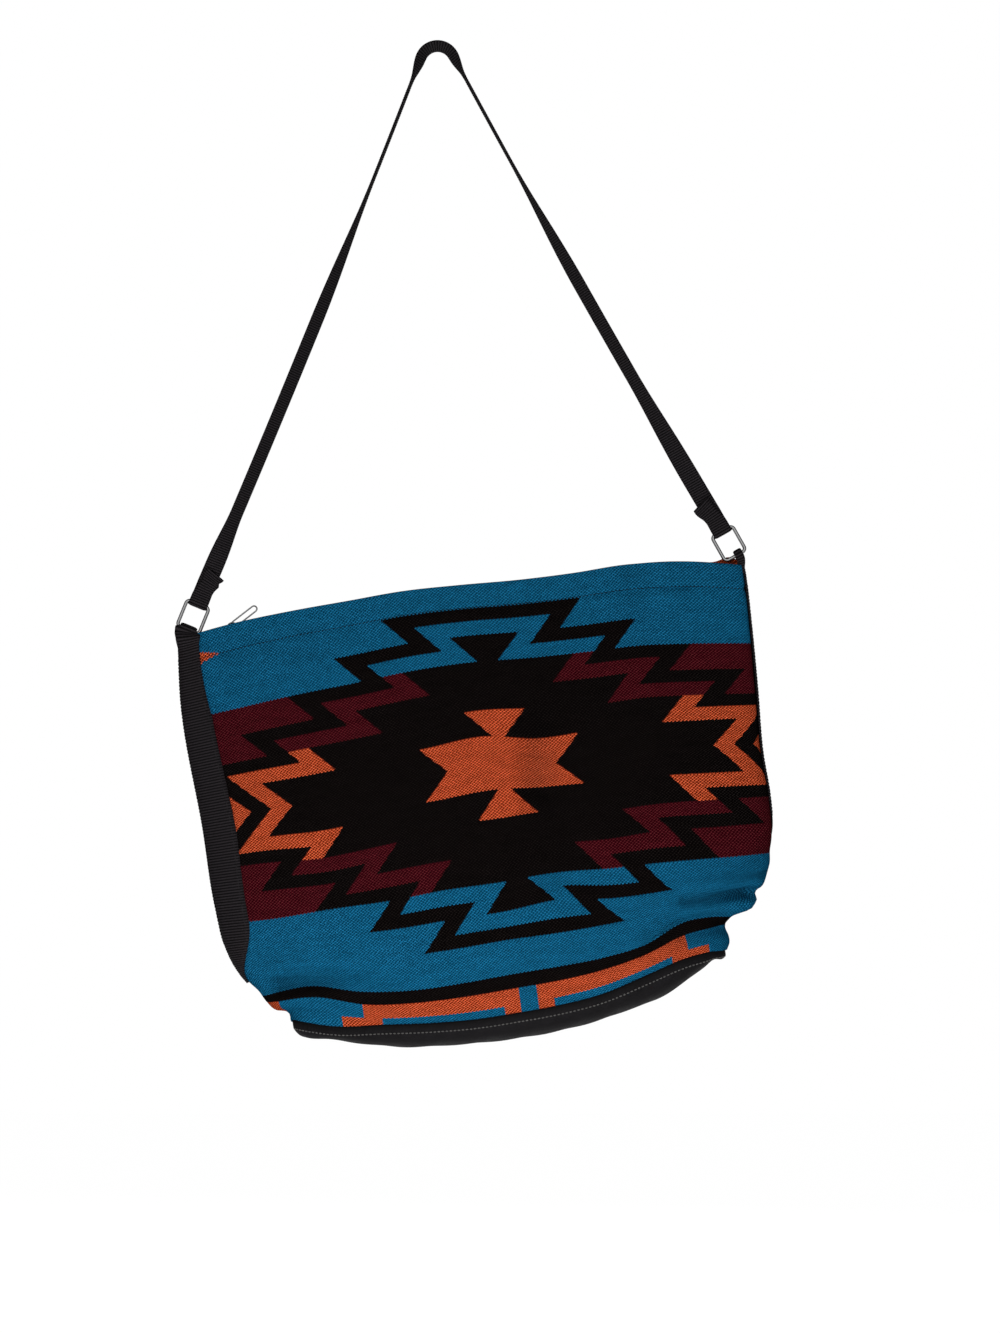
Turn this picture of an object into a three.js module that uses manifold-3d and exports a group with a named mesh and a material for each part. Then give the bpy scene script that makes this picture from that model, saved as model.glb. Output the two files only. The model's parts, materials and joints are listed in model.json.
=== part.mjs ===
// A woven shoulder bag hanging by its webbing strap, zipped shut and empty.
// Millimetres, +Z up, the front faces -Y. The origin is the underside of the strap at the top of
// its bend, where the bag is hung. The bag hangs with its right end high.
import * as THREE from "three";
import { mergeVertices } from "three/addons/utils/BufferGeometryUtils.js";
import Module from "manifold-3d";

const wasm = await Module();
wasm.setup();

// How the bag hangs
const strapDrop = 464; // hang point down to the line through the two rings
const hangOffset = 20.6; // middle of the bag, right of the hang point
const hangTilt = THREE.MathUtils.degToRad(7.7); // right end up
const hangBendRadius = 14.2; // inside of the strap's bend

// Bag body
const bagWidth = 483; // fold to fold
const topHalfDepth = 10; // hem to the middle of the zip
const topMiddle = 6.3; // top edge above the ring line, in the middle
const topArch = 7; // how far the top edge falls away to the ends
const cornerDip = 10; // extra fall at the corners, under the rings
const cornerDipPower = 12; // higher keeps that fall nearer the corners
const clothThickness = 2;
const baseReachLeft = 190; // ends of the base, from the middle of the bag
const baseReachRight = 185;
const baseHalfDepth = 46;
const seamDepth = 360; // ring line down to the base seam, in the middle
const seamRiseLeft = 17; // how far the seam climbs to the ends of the base
const seamRiseRight = 32;
const seamRisePower = 2; // higher keeps that climb nearer the ends
const taperStart = 0.75; // share of the height where the sides start to draw in
const topSectionPower = 4; // section across the bag: 2 is an ellipse, higher is squarer
const lowSectionPower = 2.5;
const squareEnd = 0.6; // share of the height where the lower section is reached
const depthPower = 1.15; // 1 opens evenly down the height, higher opens later
const baseSag = 17;
const baseThickness = 2;
const baseEndShare = 0.992; // how far the base runs into the ends of the seam

// Webbing, rings and strap
const sideWebWidth = 25;
const gatheredWidth = 16; // the same webbing at the ring
const gatherEnd = 0.25; // share of the height where it is flat again
const webThickness = 1.6;
const strapWidth = 16;
const ringWire = 3;
const ringInside = 17; // across the window
const ringPitch = 24; // lower bar to upper bar, centres
const ringCorner = 3.4; // bend radius at the wire's centre
const ringInset = 6.5; // side fold to the middle of the ring
const ringSpan = bagWidth - 2 * ringInset; // between the two lower bars
const eyeWidth = 15; // loops round the bars
const eyeRise = 0.8; // room above and below the lower bar in its loop
const swingPlay = 2.3; // room for the lower bar to tilt in its loop
const tailLength = 32; // end of the strap, turned back and sewn
const tailBulk = 2.4; // thickness of the sewn tail
const tailBefore = 1.44; // middle of the tail in front of the middle of the strap
const flapBefore = 1.76;
const tailLap = 3; // tail over the loop's stem
const tailFlap = 9; // loose corner of that end
const tailFlapHeight = 6.3;
const tailFlapTurn = 0.5; // radians
const strapSag = 2.3; // middle of a leg, in towards the other leg
const legTurn = THREE.MathUtils.degToRad(37); // how far the strap faces the front over most of a leg
const edgeTurn = THREE.MathUtils.degToRad(4); // and near the bend
const bendTurn = THREE.MathUtils.degToRad(30); // and over it
const flatEndLeft = 0.14; // shares of a leg: where the strap has left the flat
const flatEndRight = 0.3;
const edgeFrom = 0.5; // where it starts to turn on edge, and where it has
const edgeTo = 0.78;
const flareFrom = 0.95; // where it starts to tip out for the bend
const eyeStem = 9; // bar to the seam that closes a loop
const stemLap = 2; // strap into that stem
const stripOverTop = 7; // side webbing above the top edge, into its loop

// Zip
const zipInsetLeft = 29; // left ring to the closed end
const zipInsetRight = 49; // right ring to the open end, room for the pull
const zipLeft = ringSpan / 2 - zipInsetLeft; // closed end, from the middle of the bag
const zipRight = ringSpan / 2 - zipInsetRight;
const zipDepth = 8; // ring line down to the tape
const tapeThickness = 0.8;
const coilWidth = 2.4;
const coilHeight = 2;
const slotWidth = 1.6; // between the two coils
const stopLength = 3;
const sliderLength = 11;
const sliderWidth = 8.4;
const sliderPlate = 1.2;
const sliderPost = 6.6; // post that joins its two plates
const bailHeight = 6.4;
const bailWindow = 4.3; // hole for the pull
const bailThickness = 1.6;
const bailFootInset = 1; // ends of the slider to the bail's foot
const bailTopInset = 2;
const pullLength = 26;
const pullWidth = 5.5;
const pullCorner = 2.65; // bend radius at the wire's centre
const pullWire = 1.3;
const pullLift = THREE.MathUtils.degToRad(30); // above the zip at rest
const pullTwist = THREE.MathUtils.degToRad(50); // loop turned about its own length

// Woven design, mirrored about its centre
const borderDepth = 34; // base seam up to the top of the border's dark line
const borderLine = 12.7; // that line
const fieldAbove = 19.3; // top edge down to the design
const fieldBelow = 30; // design down to the border's dark line
const outlineRows = 6; // rows between the design's waist and its top
const orangeRows = 2; // colour changes, in rows from the waist
const maroonRows = 4;
const waist = 3.4; // half height of the line through the centre
const rowSlant = 20.8; // sideways slant over one row
const outlineTip = 86; // half width of the top row
const tipPastFold = 18.9; // the widest row runs on past the side folds
const bandShift = 28; // sideways width of a band
const starTip = 25.5;
const designX = 14;
const borderLineTop = borderDepth - seamDepth;
const designTop = topMiddle - fieldAbove;
const designLow = borderLineTop + fieldBelow;
const designZ = (designTop + designLow) / 2;
const rowHeight = ((designTop - designLow) / 2 - waist) / outlineRows;
// Each row's tip reaches this much further out than the one above.
const stepRun = (bagWidth / 2 + tipPastFold - outlineTip) / (outlineRows - orangeRows);
const cornerTipIn = 31; // small triangle beside the left webbing, its tip from the fold
const cornerTipZ = -24.5;
const cornerTipHeight = 9;
const cornerTipReach = 16;
const borderX = 10.5;
const bracketNear = 7.6; // border brackets, measured from the border's middle
const bracketBar = 12.3;
const bracketLeg = 13.6;
const bracketFoot = 34;
const bracketStep = 19; // how far the foot stands out past the bar
const borderEnd = 15.5; // last bracket to the right end of the base
const bracketFar = baseReachRight - borderEnd - borderX - bracketStep;
const yarnHeight = 0.45; // coloured yarn standing on the dark ground
const yarnMargin = 1; // bare cloth beside the webbing
const strayYarn = 8; // cubic millimetres, under which a patch is a stray thread

const clearance = 0.3; // between pieces that touch

// Materials
const finish = (color, roughness, metalness = 0) =>
  new THREE.MeshStandardMaterial({ color, roughness, metalness });
const groundCloth = finish(0x100e10, 0.95);
const tealYarn = finish(0x125a80, 0.9);
const maroonYarn = finish(0x3a0a12, 0.9);
const orangeYarn = finish(0xa8471f, 0.9);
const blackWebbing = finish(0x1e1d1f, 0.8);
const baseCloth = finish(0x29292b, 0.7);
const steel = finish(0xc8c8c8, 0.25, 1);
const zipTape = finish(0x151415, 0.9);

// Small helpers
const vec = (x, y, z) => new THREE.Vector3(x, y, z);
const ease = (t) => THREE.MathUtils.smoothstep(t, 0, 1);
const lerp = THREE.MathUtils.lerp;

function toSolid(geometry) {
  const bare = new THREE.BufferGeometry().setAttribute("position", geometry.getAttribute("position"));
  if (geometry.index) bare.setIndex(geometry.index);
  const merged = mergeVertices(bare, 1e-4);
  return new wasm.Manifold(
    new wasm.Mesh({
      numProp: 3,
      vertProperties: new Float32Array(merged.attributes.position.array),
      triVerts: new Uint32Array(merged.index.array),
    }),
  );
}

function toGeometry(solid) {
  const mesh = solid.getMesh();
  const geometry = new THREE.BufferGeometry();
  geometry.setAttribute("position", new THREE.BufferAttribute(mesh.vertProperties, 3));
  geometry.setIndex(new THREE.BufferAttribute(mesh.triVerts, 1));
  geometry.computeVertexNormals();
  return geometry;
}

function joined(...geometries) {
  return toGeometry(geometries.map(toSolid).reduce((whole, piece) => whole.add(piece)));
}

// A closed surface from points and faces, turned so that its faces point out.
function closedSurface(points, faces) {
  let volume = 0;
  const cross = new THREE.Vector3();
  for (const [a, b, c] of faces) volume += points[a].dot(cross.crossVectors(points[b], points[c]));
  const index = faces.flatMap(([a, b, c]) => (volume < 0 ? [a, c, b] : [a, b, c]));
  const geometry = new THREE.BufferGeometry().setFromPoints(points);
  geometry.setIndex(index);
  geometry.computeVertexNormals();
  return geometry;
}

const quad = (a, b, c, d) => [
  [a, b, c],
  [a, c, d],
];

// Evenly spaced values, both ends included.
const spread = (from, to, steps) => Array.from({ length: steps + 1 }, (_, k) => lerp(from, to, k / steps));

// A closed sheet between two surfaces, each a function of a row value and a column value.
function sheet(rows, columns, outer, inner) {
  const points = [outer, inner].flatMap((surface) =>
    rows.flatMap((row) => columns.map((column) => surface(row, column))),
  );
  const faces = [];
  const at = (layer, i, j) => (layer * rows.length + i) * columns.length + j;
  const lastRow = rows.length - 1;
  const lastColumn = columns.length - 1;
  for (let i = 0; i < lastRow; i++)
    for (let j = 0; j < lastColumn; j++) {
      faces.push(...quad(at(0, i, j), at(0, i + 1, j), at(0, i + 1, j + 1), at(0, i, j + 1)));
      faces.push(...quad(at(1, i, j), at(1, i, j + 1), at(1, i + 1, j + 1), at(1, i + 1, j)));
    }
  for (let j = 0; j < lastColumn; j++) {
    faces.push(...quad(at(0, 0, j), at(0, 0, j + 1), at(1, 0, j + 1), at(1, 0, j)));
    faces.push(...quad(at(0, lastRow, j), at(1, lastRow, j), at(1, lastRow, j + 1), at(0, lastRow, j + 1)));
  }
  for (let i = 0; i < lastRow; i++) {
    faces.push(...quad(at(0, i, 0), at(1, i, 0), at(1, i + 1, 0), at(0, i + 1, 0)));
    faces.push(
      ...quad(at(0, i, lastColumn), at(0, i + 1, lastColumn), at(1, i + 1, lastColumn), at(1, i, lastColumn)),
    );
  }
  return closedSurface(points, faces);
}

// A wire bent into a rounded rectangle in the XZ plane, centred on x, its lower side at z = 0.
function wireLoop(width, height, corner, wire, cornerSteps, sides) {
  const path = [];
  const centres = [
    [width / 2 - corner, corner],
    [width / 2 - corner, height - corner],
    [corner - width / 2, height - corner],
    [corner - width / 2, corner],
  ];
  centres.forEach(([x, z], turn) => {
    for (let k = 0; k <= cornerSteps; k++) {
      const angle = ((turn - 1 + k / cornerSteps) * Math.PI) / 2;
      const outward = vec(Math.cos(angle), 0, Math.sin(angle));
      path.push({ centre: vec(x, 0, z).addScaledVector(outward, corner), outward });
    }
  });
  const points = path.flatMap(({ centre, outward }) =>
    Array.from({ length: sides }, (_, k) => {
      const angle = (2 * Math.PI * k) / sides;
      const off = outward.clone().multiplyScalar(Math.cos(angle)).add(vec(0, Math.sin(angle), 0));
      return centre.clone().addScaledVector(off, wire / 2);
    }),
  );
  const at = (i, k) => (i % path.length) * sides + (k % sides);
  const faces = [];
  for (let i = 0; i < path.length; i++)
    for (let k = 0; k < sides; k++)
      faces.push(...quad(at(i, k), at(i + 1, k), at(i + 1, k + 1), at(i, k + 1)));
  return closedSurface(points, faces);
}

// A flat outline in the XZ plane, extruded evenly to both sides of y = 0.
function plate(shape, thickness, curveSegments = 8) {
  const geometry = new THREE.ExtrudeGeometry(shape, { depth: thickness, bevelEnabled: false, curveSegments });
  geometry.translate(0, 0, -thickness / 2);
  geometry.rotateX(Math.PI / 2);
  return geometry;
}

function outline(points) {
  return new THREE.Shape(points.map(([x, z]) => new THREE.Vector2(x, z)));
}

function box(sizeX, sizeY, sizeZ, x, y, z) {
  return new THREE.BoxGeometry(sizeX, sizeY, sizeZ).translate(x, y, z);
}

// A webbing loop round a bar along X at the origin, seen along the bar. The hole has the bar's radius plus
// rise all round and is stretched by play to the front and back; the stem runs down to -stem.
function webbingEye(barRadius, rise, play, stem, width) {
  const inner = barRadius + rise;
  const outer = inner + webThickness;
  const shape = new THREE.Shape();
  shape.moveTo(webThickness, -stem);
  shape.lineTo(outer + play, 0);
  shape.absarc(play, 0, outer, 0, Math.PI / 2, false);
  shape.absarc(-play, 0, outer, Math.PI / 2, Math.PI, false);
  shape.lineTo(-webThickness, -stem);
  shape.closePath();
  const hole = new THREE.Path();
  hole.absarc(play, 0, inner, -Math.PI / 2, Math.PI / 2, false);
  hole.absarc(-play, 0, inner, Math.PI / 2, (3 * Math.PI) / 2, false);
  hole.closePath();
  shape.holes.push(hole);
  const geometry = new THREE.ExtrudeGeometry(shape, { depth: width, bevelEnabled: false, curveSegments: 6 });
  geometry.translate(0, 0, -width / 2);
  return geometry.applyMatrix4(new THREE.Matrix4().makeBasis(vec(0, 1, 0), vec(0, 0, 1), vec(1, 0, 0)));
}

function part(name, geometry, material) {
  const mesh = new THREE.Mesh(geometry, material);
  mesh.name = name;
  return mesh;
}

// Shape of the hanging body
// Round the bag goes from -1 at the left fold by 0 at the front to 1 at the right fold, 2 at the back.
// Down goes from 0 at the top edge to 1 at the base seam. Offset is outwards from the cloth's face.
function bodyPoint(round, down, offset) {
  const taper = ease((down - taperStart) / (1 - taperStart));
  const across = Math.sin((round * Math.PI) / 2);
  const baseReach = across < 0 ? baseReachLeft : baseReachRight;
  const halfWidth = lerp(bagWidth / 2, baseReach, taper) + offset;
  const halfDepth = lerp(topHalfDepth, baseHalfDepth, Math.pow(down, depthPower)) + offset;
  const squareness = lerp(topSectionPower, lowSectionPower, ease(down / squareEnd));
  const side = Math.cos((round * Math.PI) / 2) >= 0 ? -1 : 1;
  const depth = Math.pow(Math.max(0, 1 - Math.pow(Math.abs(across), squareness)), 1 / squareness);
  return vec(halfWidth * across, side * halfDepth * depth, lerp(topEdge(across), seamLine(across), down));
}

const topEdge = (across) =>
  topMiddle - topArch * across ** 2 - cornerDip * Math.abs(across) ** cornerDipPower;
const seamLine = (across) =>
  -seamDepth + (across < 0 ? seamRiseLeft : seamRiseRight) * Math.abs(across) ** seamRisePower;

// How far round a strip of the given width, laid from a fold, leaves.
const foldShare = (width) => (2 / Math.PI) * Math.asin(1 - width / (bagWidth / 2));

// The webbing covers the side seams, so the left seam lies half its width round to the front and the right
// seam as far round to the back.
const panelRows = [...spread(0, taperStart, 9), ...spread(taperStart, 1, 6).slice(1)];
const panelColumns = 20;
const seamNear = foldShare((sideWebWidth + clearance) / 2);
const seamFar = foldShare((sideWebWidth - clearance) / 2);
const frontRounds = spread(-seamNear, 2 - seamFar, panelColumns);
const backRounds = frontRounds.map((round) => round + 2);

function clothPanel(rounds) {
  const surface = (offset) => (down, round) => bodyPoint(round, down, offset);
  return sheet(panelRows, rounds, surface(0), surface(-clothThickness));
}

// The base is a shallow dish hung from the seam.
function basePanel() {
  const surface = (lower) => (along, away) => {
    const across = baseEndShare * Math.sin((along * Math.PI) / 2);
    const rim = bodyPoint((2 / Math.PI) * Math.asin(across), 1, 0);
    const drop = baseSag * (1 - away ** 2) * (1 - across ** 4) + lower;
    return vec(rim.x, -rim.y * away, seamLine(across) - clearance - drop);
  };
  return sheet(spread(-1, 1, 20), spread(-1, 1, 8), surface(baseThickness), surface(0));
}

// Width of the side webbing down its length: gathered at the ring, flat below.
const webWidth = (down) => lerp(gatheredWidth, sideWebWidth, ease(down / gatherEnd));

// Side webbing: a strip laid on the body from the fold, with a loop at its top for the ring's lower bar.
function sideWebbing(sign, ringTurn) {
  const surface = (offset) => (down, share) => {
    const fromFold = 1 - share * (1 - foldShare(webWidth(down)));
    const point = bodyPoint(sign < 0 ? -fromFold : 2 - fromFold, down, offset);
    if (down === 0) point.z += stripOverTop;
    return point;
  };
  const strip = sheet(panelRows, spread(0, 1, 10), surface(clearance + webThickness), surface(clearance));
  const eye = webbingEye(ringWire / 2, eyeRise, swingPlay, eyeStem, eyeWidth);
  eye.rotateY(ringTurn);
  eye.translate((sign * ringSpan) / 2, 0, 0);
  return joined(strip, eye);
}

// Zip: two tapes on the inside of the hems, a coil on each, and a stop at each end.
function zipTapeStrip(side) {
  const surface = (drop) => (x, away) => {
    const across = x / (bagWidth / 2);
    const down = (topEdge(across) + zipDepth) / (topEdge(across) - seamLine(across));
    const hem = bodyPoint((2 / Math.PI) * Math.asin(across), down, -clothThickness - clearance);
    return vec(x, lerp(slotWidth / 2, -hem.y, away) * side, -zipDepth - drop);
  };
  return sheet(spread(-zipLeft, zipRight, 16), [0, 1], surface(0), surface(tapeThickness));
}

const coilBase = -zipDepth + clearance;
const coilMiddle = coilBase + coilHeight / 2;

function zipCoil(side) {
  const length = zipLeft + zipRight - 2 * (stopLength + clearance);
  const away = (side * (slotWidth + coilWidth)) / 2;
  return box(length, coilWidth, coilHeight, (zipRight - zipLeft) / 2, away, coilMiddle);
}

const zipStop = (x) => box(stopLength, slotWidth + 2 * coilWidth, coilHeight, x, 0, coilMiddle);

// Slider: two plates joined by a post in the slot between the coils, and a bail for the pull.
const sliderTop = coilBase + coilHeight + clearance;
const pullPivot = sliderTop + (sliderPlate + bailHeight) / 2;

function slider() {
  const underTape = -zipDepth - tapeThickness - clearance;
  const postHeight = sliderTop - underTape + sliderPlate;
  const bail = outline([
    [bailFootInset - sliderLength / 2, 0],
    [bailTopInset - sliderLength / 2, bailHeight],
    [sliderLength / 2 - bailTopInset, bailHeight],
    [sliderLength / 2 - bailFootInset, 0],
  ]);
  const window = new THREE.Path();
  window.absarc(0, bailHeight / 2, bailWindow / 2, 0, 2 * Math.PI, false);
  bail.holes.push(window);
  return joined(
    box(sliderLength, sliderWidth, sliderPlate, 0, 0, sliderTop + sliderPlate / 2),
    box(sliderLength, sliderWidth, sliderPlate, 0, 0, underTape - sliderPlate / 2),
    box(sliderPost, slotWidth - 2 * clearance, postHeight, 0, 0, (sliderTop + underTape) / 2),
    plate(bail, bailThickness, 6).translate(0, 0, sliderTop + sliderPlate / 2),
  );
}

// Pull: a long wire loop hung in the bail, leaning over to the right.
function pull() {
  const loop = wireLoop(pullWidth, pullLength, pullCorner, pullWire, 5, 6);
  loop.rotateZ(Math.PI / 2);
  loop.rotateZ(pullTwist);
  loop.rotateY(Math.PI / 2 - pullLift);
  return loop.translate(0, 0, pullPivot);
}

// Woven design
// Height of a row's edge above the design's centre.
const level = (row) => waist + row * rowHeight;

// Points of a stepped edge from its top row to the centre line, on the right-hand side. Each row slants in
// from its tip; the last row slants on to the centre line.
function steps(firstTip, topRow, rows) {
  const points = [];
  for (let row = 0; row < rows; row++) {
    const tip = firstTip + row * stepRun;
    const top = level(topRow - row);
    const bottom = row < rows - 1 ? level(topRow - row - 1) : 0;
    points.push([tip, top], [tip - ((top - bottom) * rowSlant) / rowHeight, bottom]);
  }
  return points;
}

// The whole stepped figure, the four mirrored quarters of that edge, as a thick plate across the bag.
function figure(firstTip, topRow, rows) {
  const quarter = steps(firstTip, topRow, rows);
  const right = [...quarter, ...quarter.slice(0, -1).reverse().map(([x, z]) => [x, -z])];
  const left = right.map(([x, z]) => [-x, z]).reverse();
  return toSolid(plate(outline([...right, ...left]), 4 * baseHalfDepth).translate(designX, 0, designZ));
}

// The border over the base follows the seam up to its ends.
const borderSteps = 24;
function climb(x) {
  const share = x / (x < 0 ? baseReachLeft : baseReachRight);
  return seamDepth + seamLine(Math.min(1, Math.max(-1, share)));
}
const borderEdge = (from, to, height, steps = borderSteps) =>
  spread(from, to, steps).map((x) => [x, height + climb(x)]);

// All the cloth on one side of such an edge, up or down to a level.
function besideBorder(height, level) {
  const end = level > height ? bagWidth : -bagWidth;
  const edge = borderEdge(-end, end, height);
  const shape = outline([...edge, [end, level], [-end, level]]);
  return toSolid(plate(shape, 4 * baseHalfDepth));
}

// A band of the cloth between two heights.
function zone(low, high) {
  const shape = outline([
    [-bagWidth, low],
    [bagWidth, low],
    [bagWidth, high],
    [-bagWidth, high],
  ]);
  return toSolid(plate(shape, 4 * baseHalfDepth));
}

// An angular bracket of the border, to one side of its middle.
function bracket(side) {
  const top = borderLineTop - borderLine;
  const under = top - bracketBar;
  const low = under - borderDepth;
  const foot = bracketFar + bracketStep;
  const leg = bracketNear + bracketLeg;
  const at = (x) => side * x + borderX;
  const end = (x, height) => [at(x), height + climb(at(x))];
  const points = [
    ...borderEdge(at(bracketNear), at(bracketFar), top, 10),
    end(bracketFar, under),
    end(foot, under),
    end(foot, low),
    end(foot - bracketFoot, low),
    ...borderEdge(at(foot - bracketFoot), at(leg), under, 10),
    end(leg, low),
    end(bracketNear, low),
  ];
  return toSolid(plate(outline(points), 4 * baseHalfDepth));
}

// The small triangle that points in from the left webbing.
function cornerTriangle() {
  const tip = cornerTipIn - bagWidth / 2;
  const base = tip - cornerTipReach;
  const points = [
    [tip, cornerTipZ],
    [base, cornerTipZ + cornerTipHeight / 2],
    [base, cornerTipZ - cornerTipHeight / 2],
  ];
  return toSolid(plate(outline(points), 4 * baseHalfDepth));
}

// Coloured yarn lies on the front panel's dark ground, from the left webbing to the cloth's last column before
// the right fold.
function yarnSheet() {
  const apart = 0.02; // least spacing of columns
  const leftEdge = (down) => -foldShare(webWidth(down) + yarnMargin);
  const inside = frontRounds.filter((round) => round > leftEdge(1) + apart && round < 1);
  const columns = [leftEdge, ...inside.map((round) => () => round)];
  const surface = (offset) => (down, column) => bodyPoint(column(down), down, offset);
  return toSolid(sheet(panelRows, columns, surface(clearance + yarnHeight), surface(clearance)));
}

function colourFields() {
  const face = yarnSheet();
  const corner = cornerTriangle();
  const field = face.subtract(figure(outlineTip, outlineRows, 5)).subtract(corner);
  const band = face
    .intersect(figure(outlineTip - bandShift, outlineRows - 0.5, 5))
    .subtract(figure(outlineTip - 2 * bandShift, outlineRows - 1, 5));
  const star = face.intersect(figure(starTip, orangeRows, 2));
  const top = designZ + level(outlineRows) + bagWidth;
  const between = (low, high) => zone(designZ + low, designZ + high);
  const above = between(level(maroonRows), top);
  const below = besideBorder(borderLineTop, designZ - level(maroonRows));
  const upperMaroon = between(level(orangeRows), level(maroonRows));
  const lowerMaroon = between(-level(maroonRows), -level(orangeRows));
  const middle = between(-level(orangeRows), level(orangeRows));
  const border = face.intersect(besideBorder(borderLineTop - borderLine, -2 * seamDepth));
  const brackets = bracket(-1).add(bracket(1));
  return [
    ["teal_top_field", field.intersect(above), tealYarn],
    ["teal_top_band", band.intersect(above), tealYarn],
    ["orange_corner", face.intersect(corner), orangeYarn],
    ["maroon_upper_field", field.intersect(upperMaroon), maroonYarn],
    ["maroon_upper_band", band.intersect(upperMaroon), maroonYarn],
    ["orange_side_field", field.intersect(middle), orangeYarn],
    ["orange_side_band", band.intersect(middle), orangeYarn],
    ["orange_star", star, orangeYarn],
    ["maroon_lower_band", band.intersect(lowerMaroon), maroonYarn],
    ["maroon_lower_field", field.intersect(lowerMaroon), maroonYarn],
    ["teal_lower_band", band.intersect(below), tealYarn],
    ["teal_lower_field", field.intersect(below), tealYarn],
    ["orange_border", border.intersect(brackets), orangeYarn],
    ["teal_border", border.subtract(brackets), tealYarn],
  ];
}

// One mesh for each separate patch of a colour, named from left to right.
function colourPatches() {
  return colourFields().flatMap(([name, solid, material]) => {
    const patches = solid.decompose().filter((patch) => patch.volume() > strayYarn);
    const middle = (patch) => patch.boundingBox().min[0] + patch.boundingBox().max[0];
    patches.sort((a, b) => middle(a) - middle(b));
    return patches.map((patch, k) =>
      part(patches.length > 1 ? `${name}_${k + 1}` : name, toGeometry(patch), material),
    );
  });
}

// The bag, in its own upright frame with the ring line along X
const bag = new THREE.Group();
bag.position.set(hangOffset, 0, -strapDrop);
bag.rotation.y = -hangTilt;
bag.updateMatrixWorld(true);

// Each leg of the strap runs from a ring to the bend at the hang point.
const bendRadius = hangBendRadius + webThickness / 2;
const bendCentre = vec(0, 0, -hangBendRadius);

function strapLeg(sign) {
  const foot = vec((sign * ringSpan) / 2, 0, 0).applyMatrix4(bag.matrixWorld);
  const toCentre = bendCentre.clone().sub(foot);
  const far = toCentre.length();
  const lean = Math.atan2(toCentre.x, toCentre.z) + sign * Math.asin(bendRadius / far);
  const along = vec(Math.sin(lean), 0, Math.cos(lean));
  return { sign, foot, lean, along, length: Math.sqrt(far ** 2 - bendRadius ** 2) };
}

const leftLeg = strapLeg(-1);
const rightLeg = strapLeg(1);

// How far the strap faces the front, at a share of the way up a leg: flat at the rings, on edge near the bend.
function strapTurn(leg, share) {
  const flatEnd = leg.sign < 0 ? flatEndLeft : flatEndRight;
  const low = lerp(Math.PI / 2, legTurn, ease(share / flatEnd));
  const high = lerp(low, edgeTurn, ease((share - edgeFrom) / (edgeTo - edgeFrom)));
  return lerp(high, bendTurn, ease((share - flareFrom) / (1 - flareFrom)));
}

// The strap's path: up the left leg, round the bend and down the right leg.
function strapRibbon() {
  const start = ringPitch + eyeStem - stemLap; // above the upper bar, inside the loop's stem
  const legSteps = 40;
  const stations = [];
  const onLeg = (leg, share) => {
    const centre = leg.foot.clone().addScaledVector(leg.along, lerp(start, leg.length, share));
    const inwards = vec(Math.cos(leg.lean), 0, -Math.sin(leg.lean)).multiplyScalar(-leg.sign);
    centre.addScaledVector(inwards, strapSag * 4 * share * (1 - share));
    return { centre, lean: leg.lean, twist: strapTurn(leg, share) };
  };
  for (let k = 0; k <= legSteps; k++) stations.push(onLeg(leftLeg, k / legSteps));
  const bendSteps = 10;
  for (let k = 1; k < bendSteps; k++) {
    const lean = lerp(leftLeg.lean, rightLeg.lean + Math.PI, k / bendSteps);
    const centre = bendCentre.clone().addScaledVector(vec(-Math.cos(lean), 0, Math.sin(lean)), bendRadius);
    stations.push({ centre, lean, twist: bendTurn });
  }
  for (let k = legSteps; k >= 0; k--) {
    const station = onLeg(rightLeg, k / legSteps);
    stations.push({ ...station, lean: station.lean + Math.PI });
  }
  const surface = (face) => (station, away) => {
    const { centre, lean, twist } = station;
    const level = vec(Math.cos(lean), 0, -Math.sin(lean));
    const wide = vec(0, Math.cos(twist), 0).addScaledVector(level, Math.sin(twist));
    const up = vec(0, -Math.sin(twist), 0).addScaledVector(level, Math.cos(twist));
    const point = centre.clone().addScaledVector(wide, (away * strapWidth) / 2);
    return point.addScaledVector(up, (face * webThickness) / 2);
  };
  return sheet(stations, [-1, 1], surface(1), surface(-1));
}

// The strap's end: a loop round the ring's upper bar, the sewn tail in front of it and the tail's loose corner.
function strapEnd(leg) {
  const tailTop = eyeStem + tailLength - tailLap;
  const eye = webbingEye(ringWire / 2, clearance, 0, eyeStem, eyeWidth);
  eye.rotateX(Math.PI);
  const tail = box(strapWidth, tailBulk, tailLength, 0, -tailBefore, tailTop - tailLength / 2);
  const flap = box(tailFlap, webThickness, tailFlapHeight, 0, -flapBefore, 0);
  flap.rotateY(leg.sign * tailFlapTurn);
  flap.translate((-leg.sign * strapWidth) / 2, 0, tailTop - tailFlap / 2);
  const end = joined(eye, tail, flap).translate(0, 0, ringPitch).rotateY(leg.lean);
  return end.translate(...leg.foot.toArray());
}

const strap = part("strap", joined(strapRibbon(), strapEnd(leftLeg), strapEnd(rightLeg)), blackWebbing);

function ring(name, leg) {
  const wide = ringInside + ringWire;
  const mesh = part(name, wireLoop(wide, ringPitch, ringCorner, ringWire, 5, 8), steel);
  mesh.position.copy(leg.foot);
  mesh.rotation.y = leg.lean;
  return mesh;
}

const zip = new THREE.Group();
zip.add(
  part("zip_tape_front", zipTapeStrip(-1), zipTape),
  part("zip_tape_back", zipTapeStrip(1), zipTape),
  part("zip_coil_front", zipCoil(-1), zipTape),
  part("zip_coil_back", zipCoil(1), zipTape),
  part("zip_stop_closed", zipStop(stopLength / 2 - zipLeft), steel),
  part("zip_stop_open", zipStop(zipRight - stopLength / 2), steel),
);

const sliderGroup = new THREE.Group();
sliderGroup.position.x = -zipLeft + stopLength + clearance + sliderLength / 2;
sliderGroup.add(part("zip_slider", slider(), steel), part("zip_pull", pull(), steel));

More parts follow.
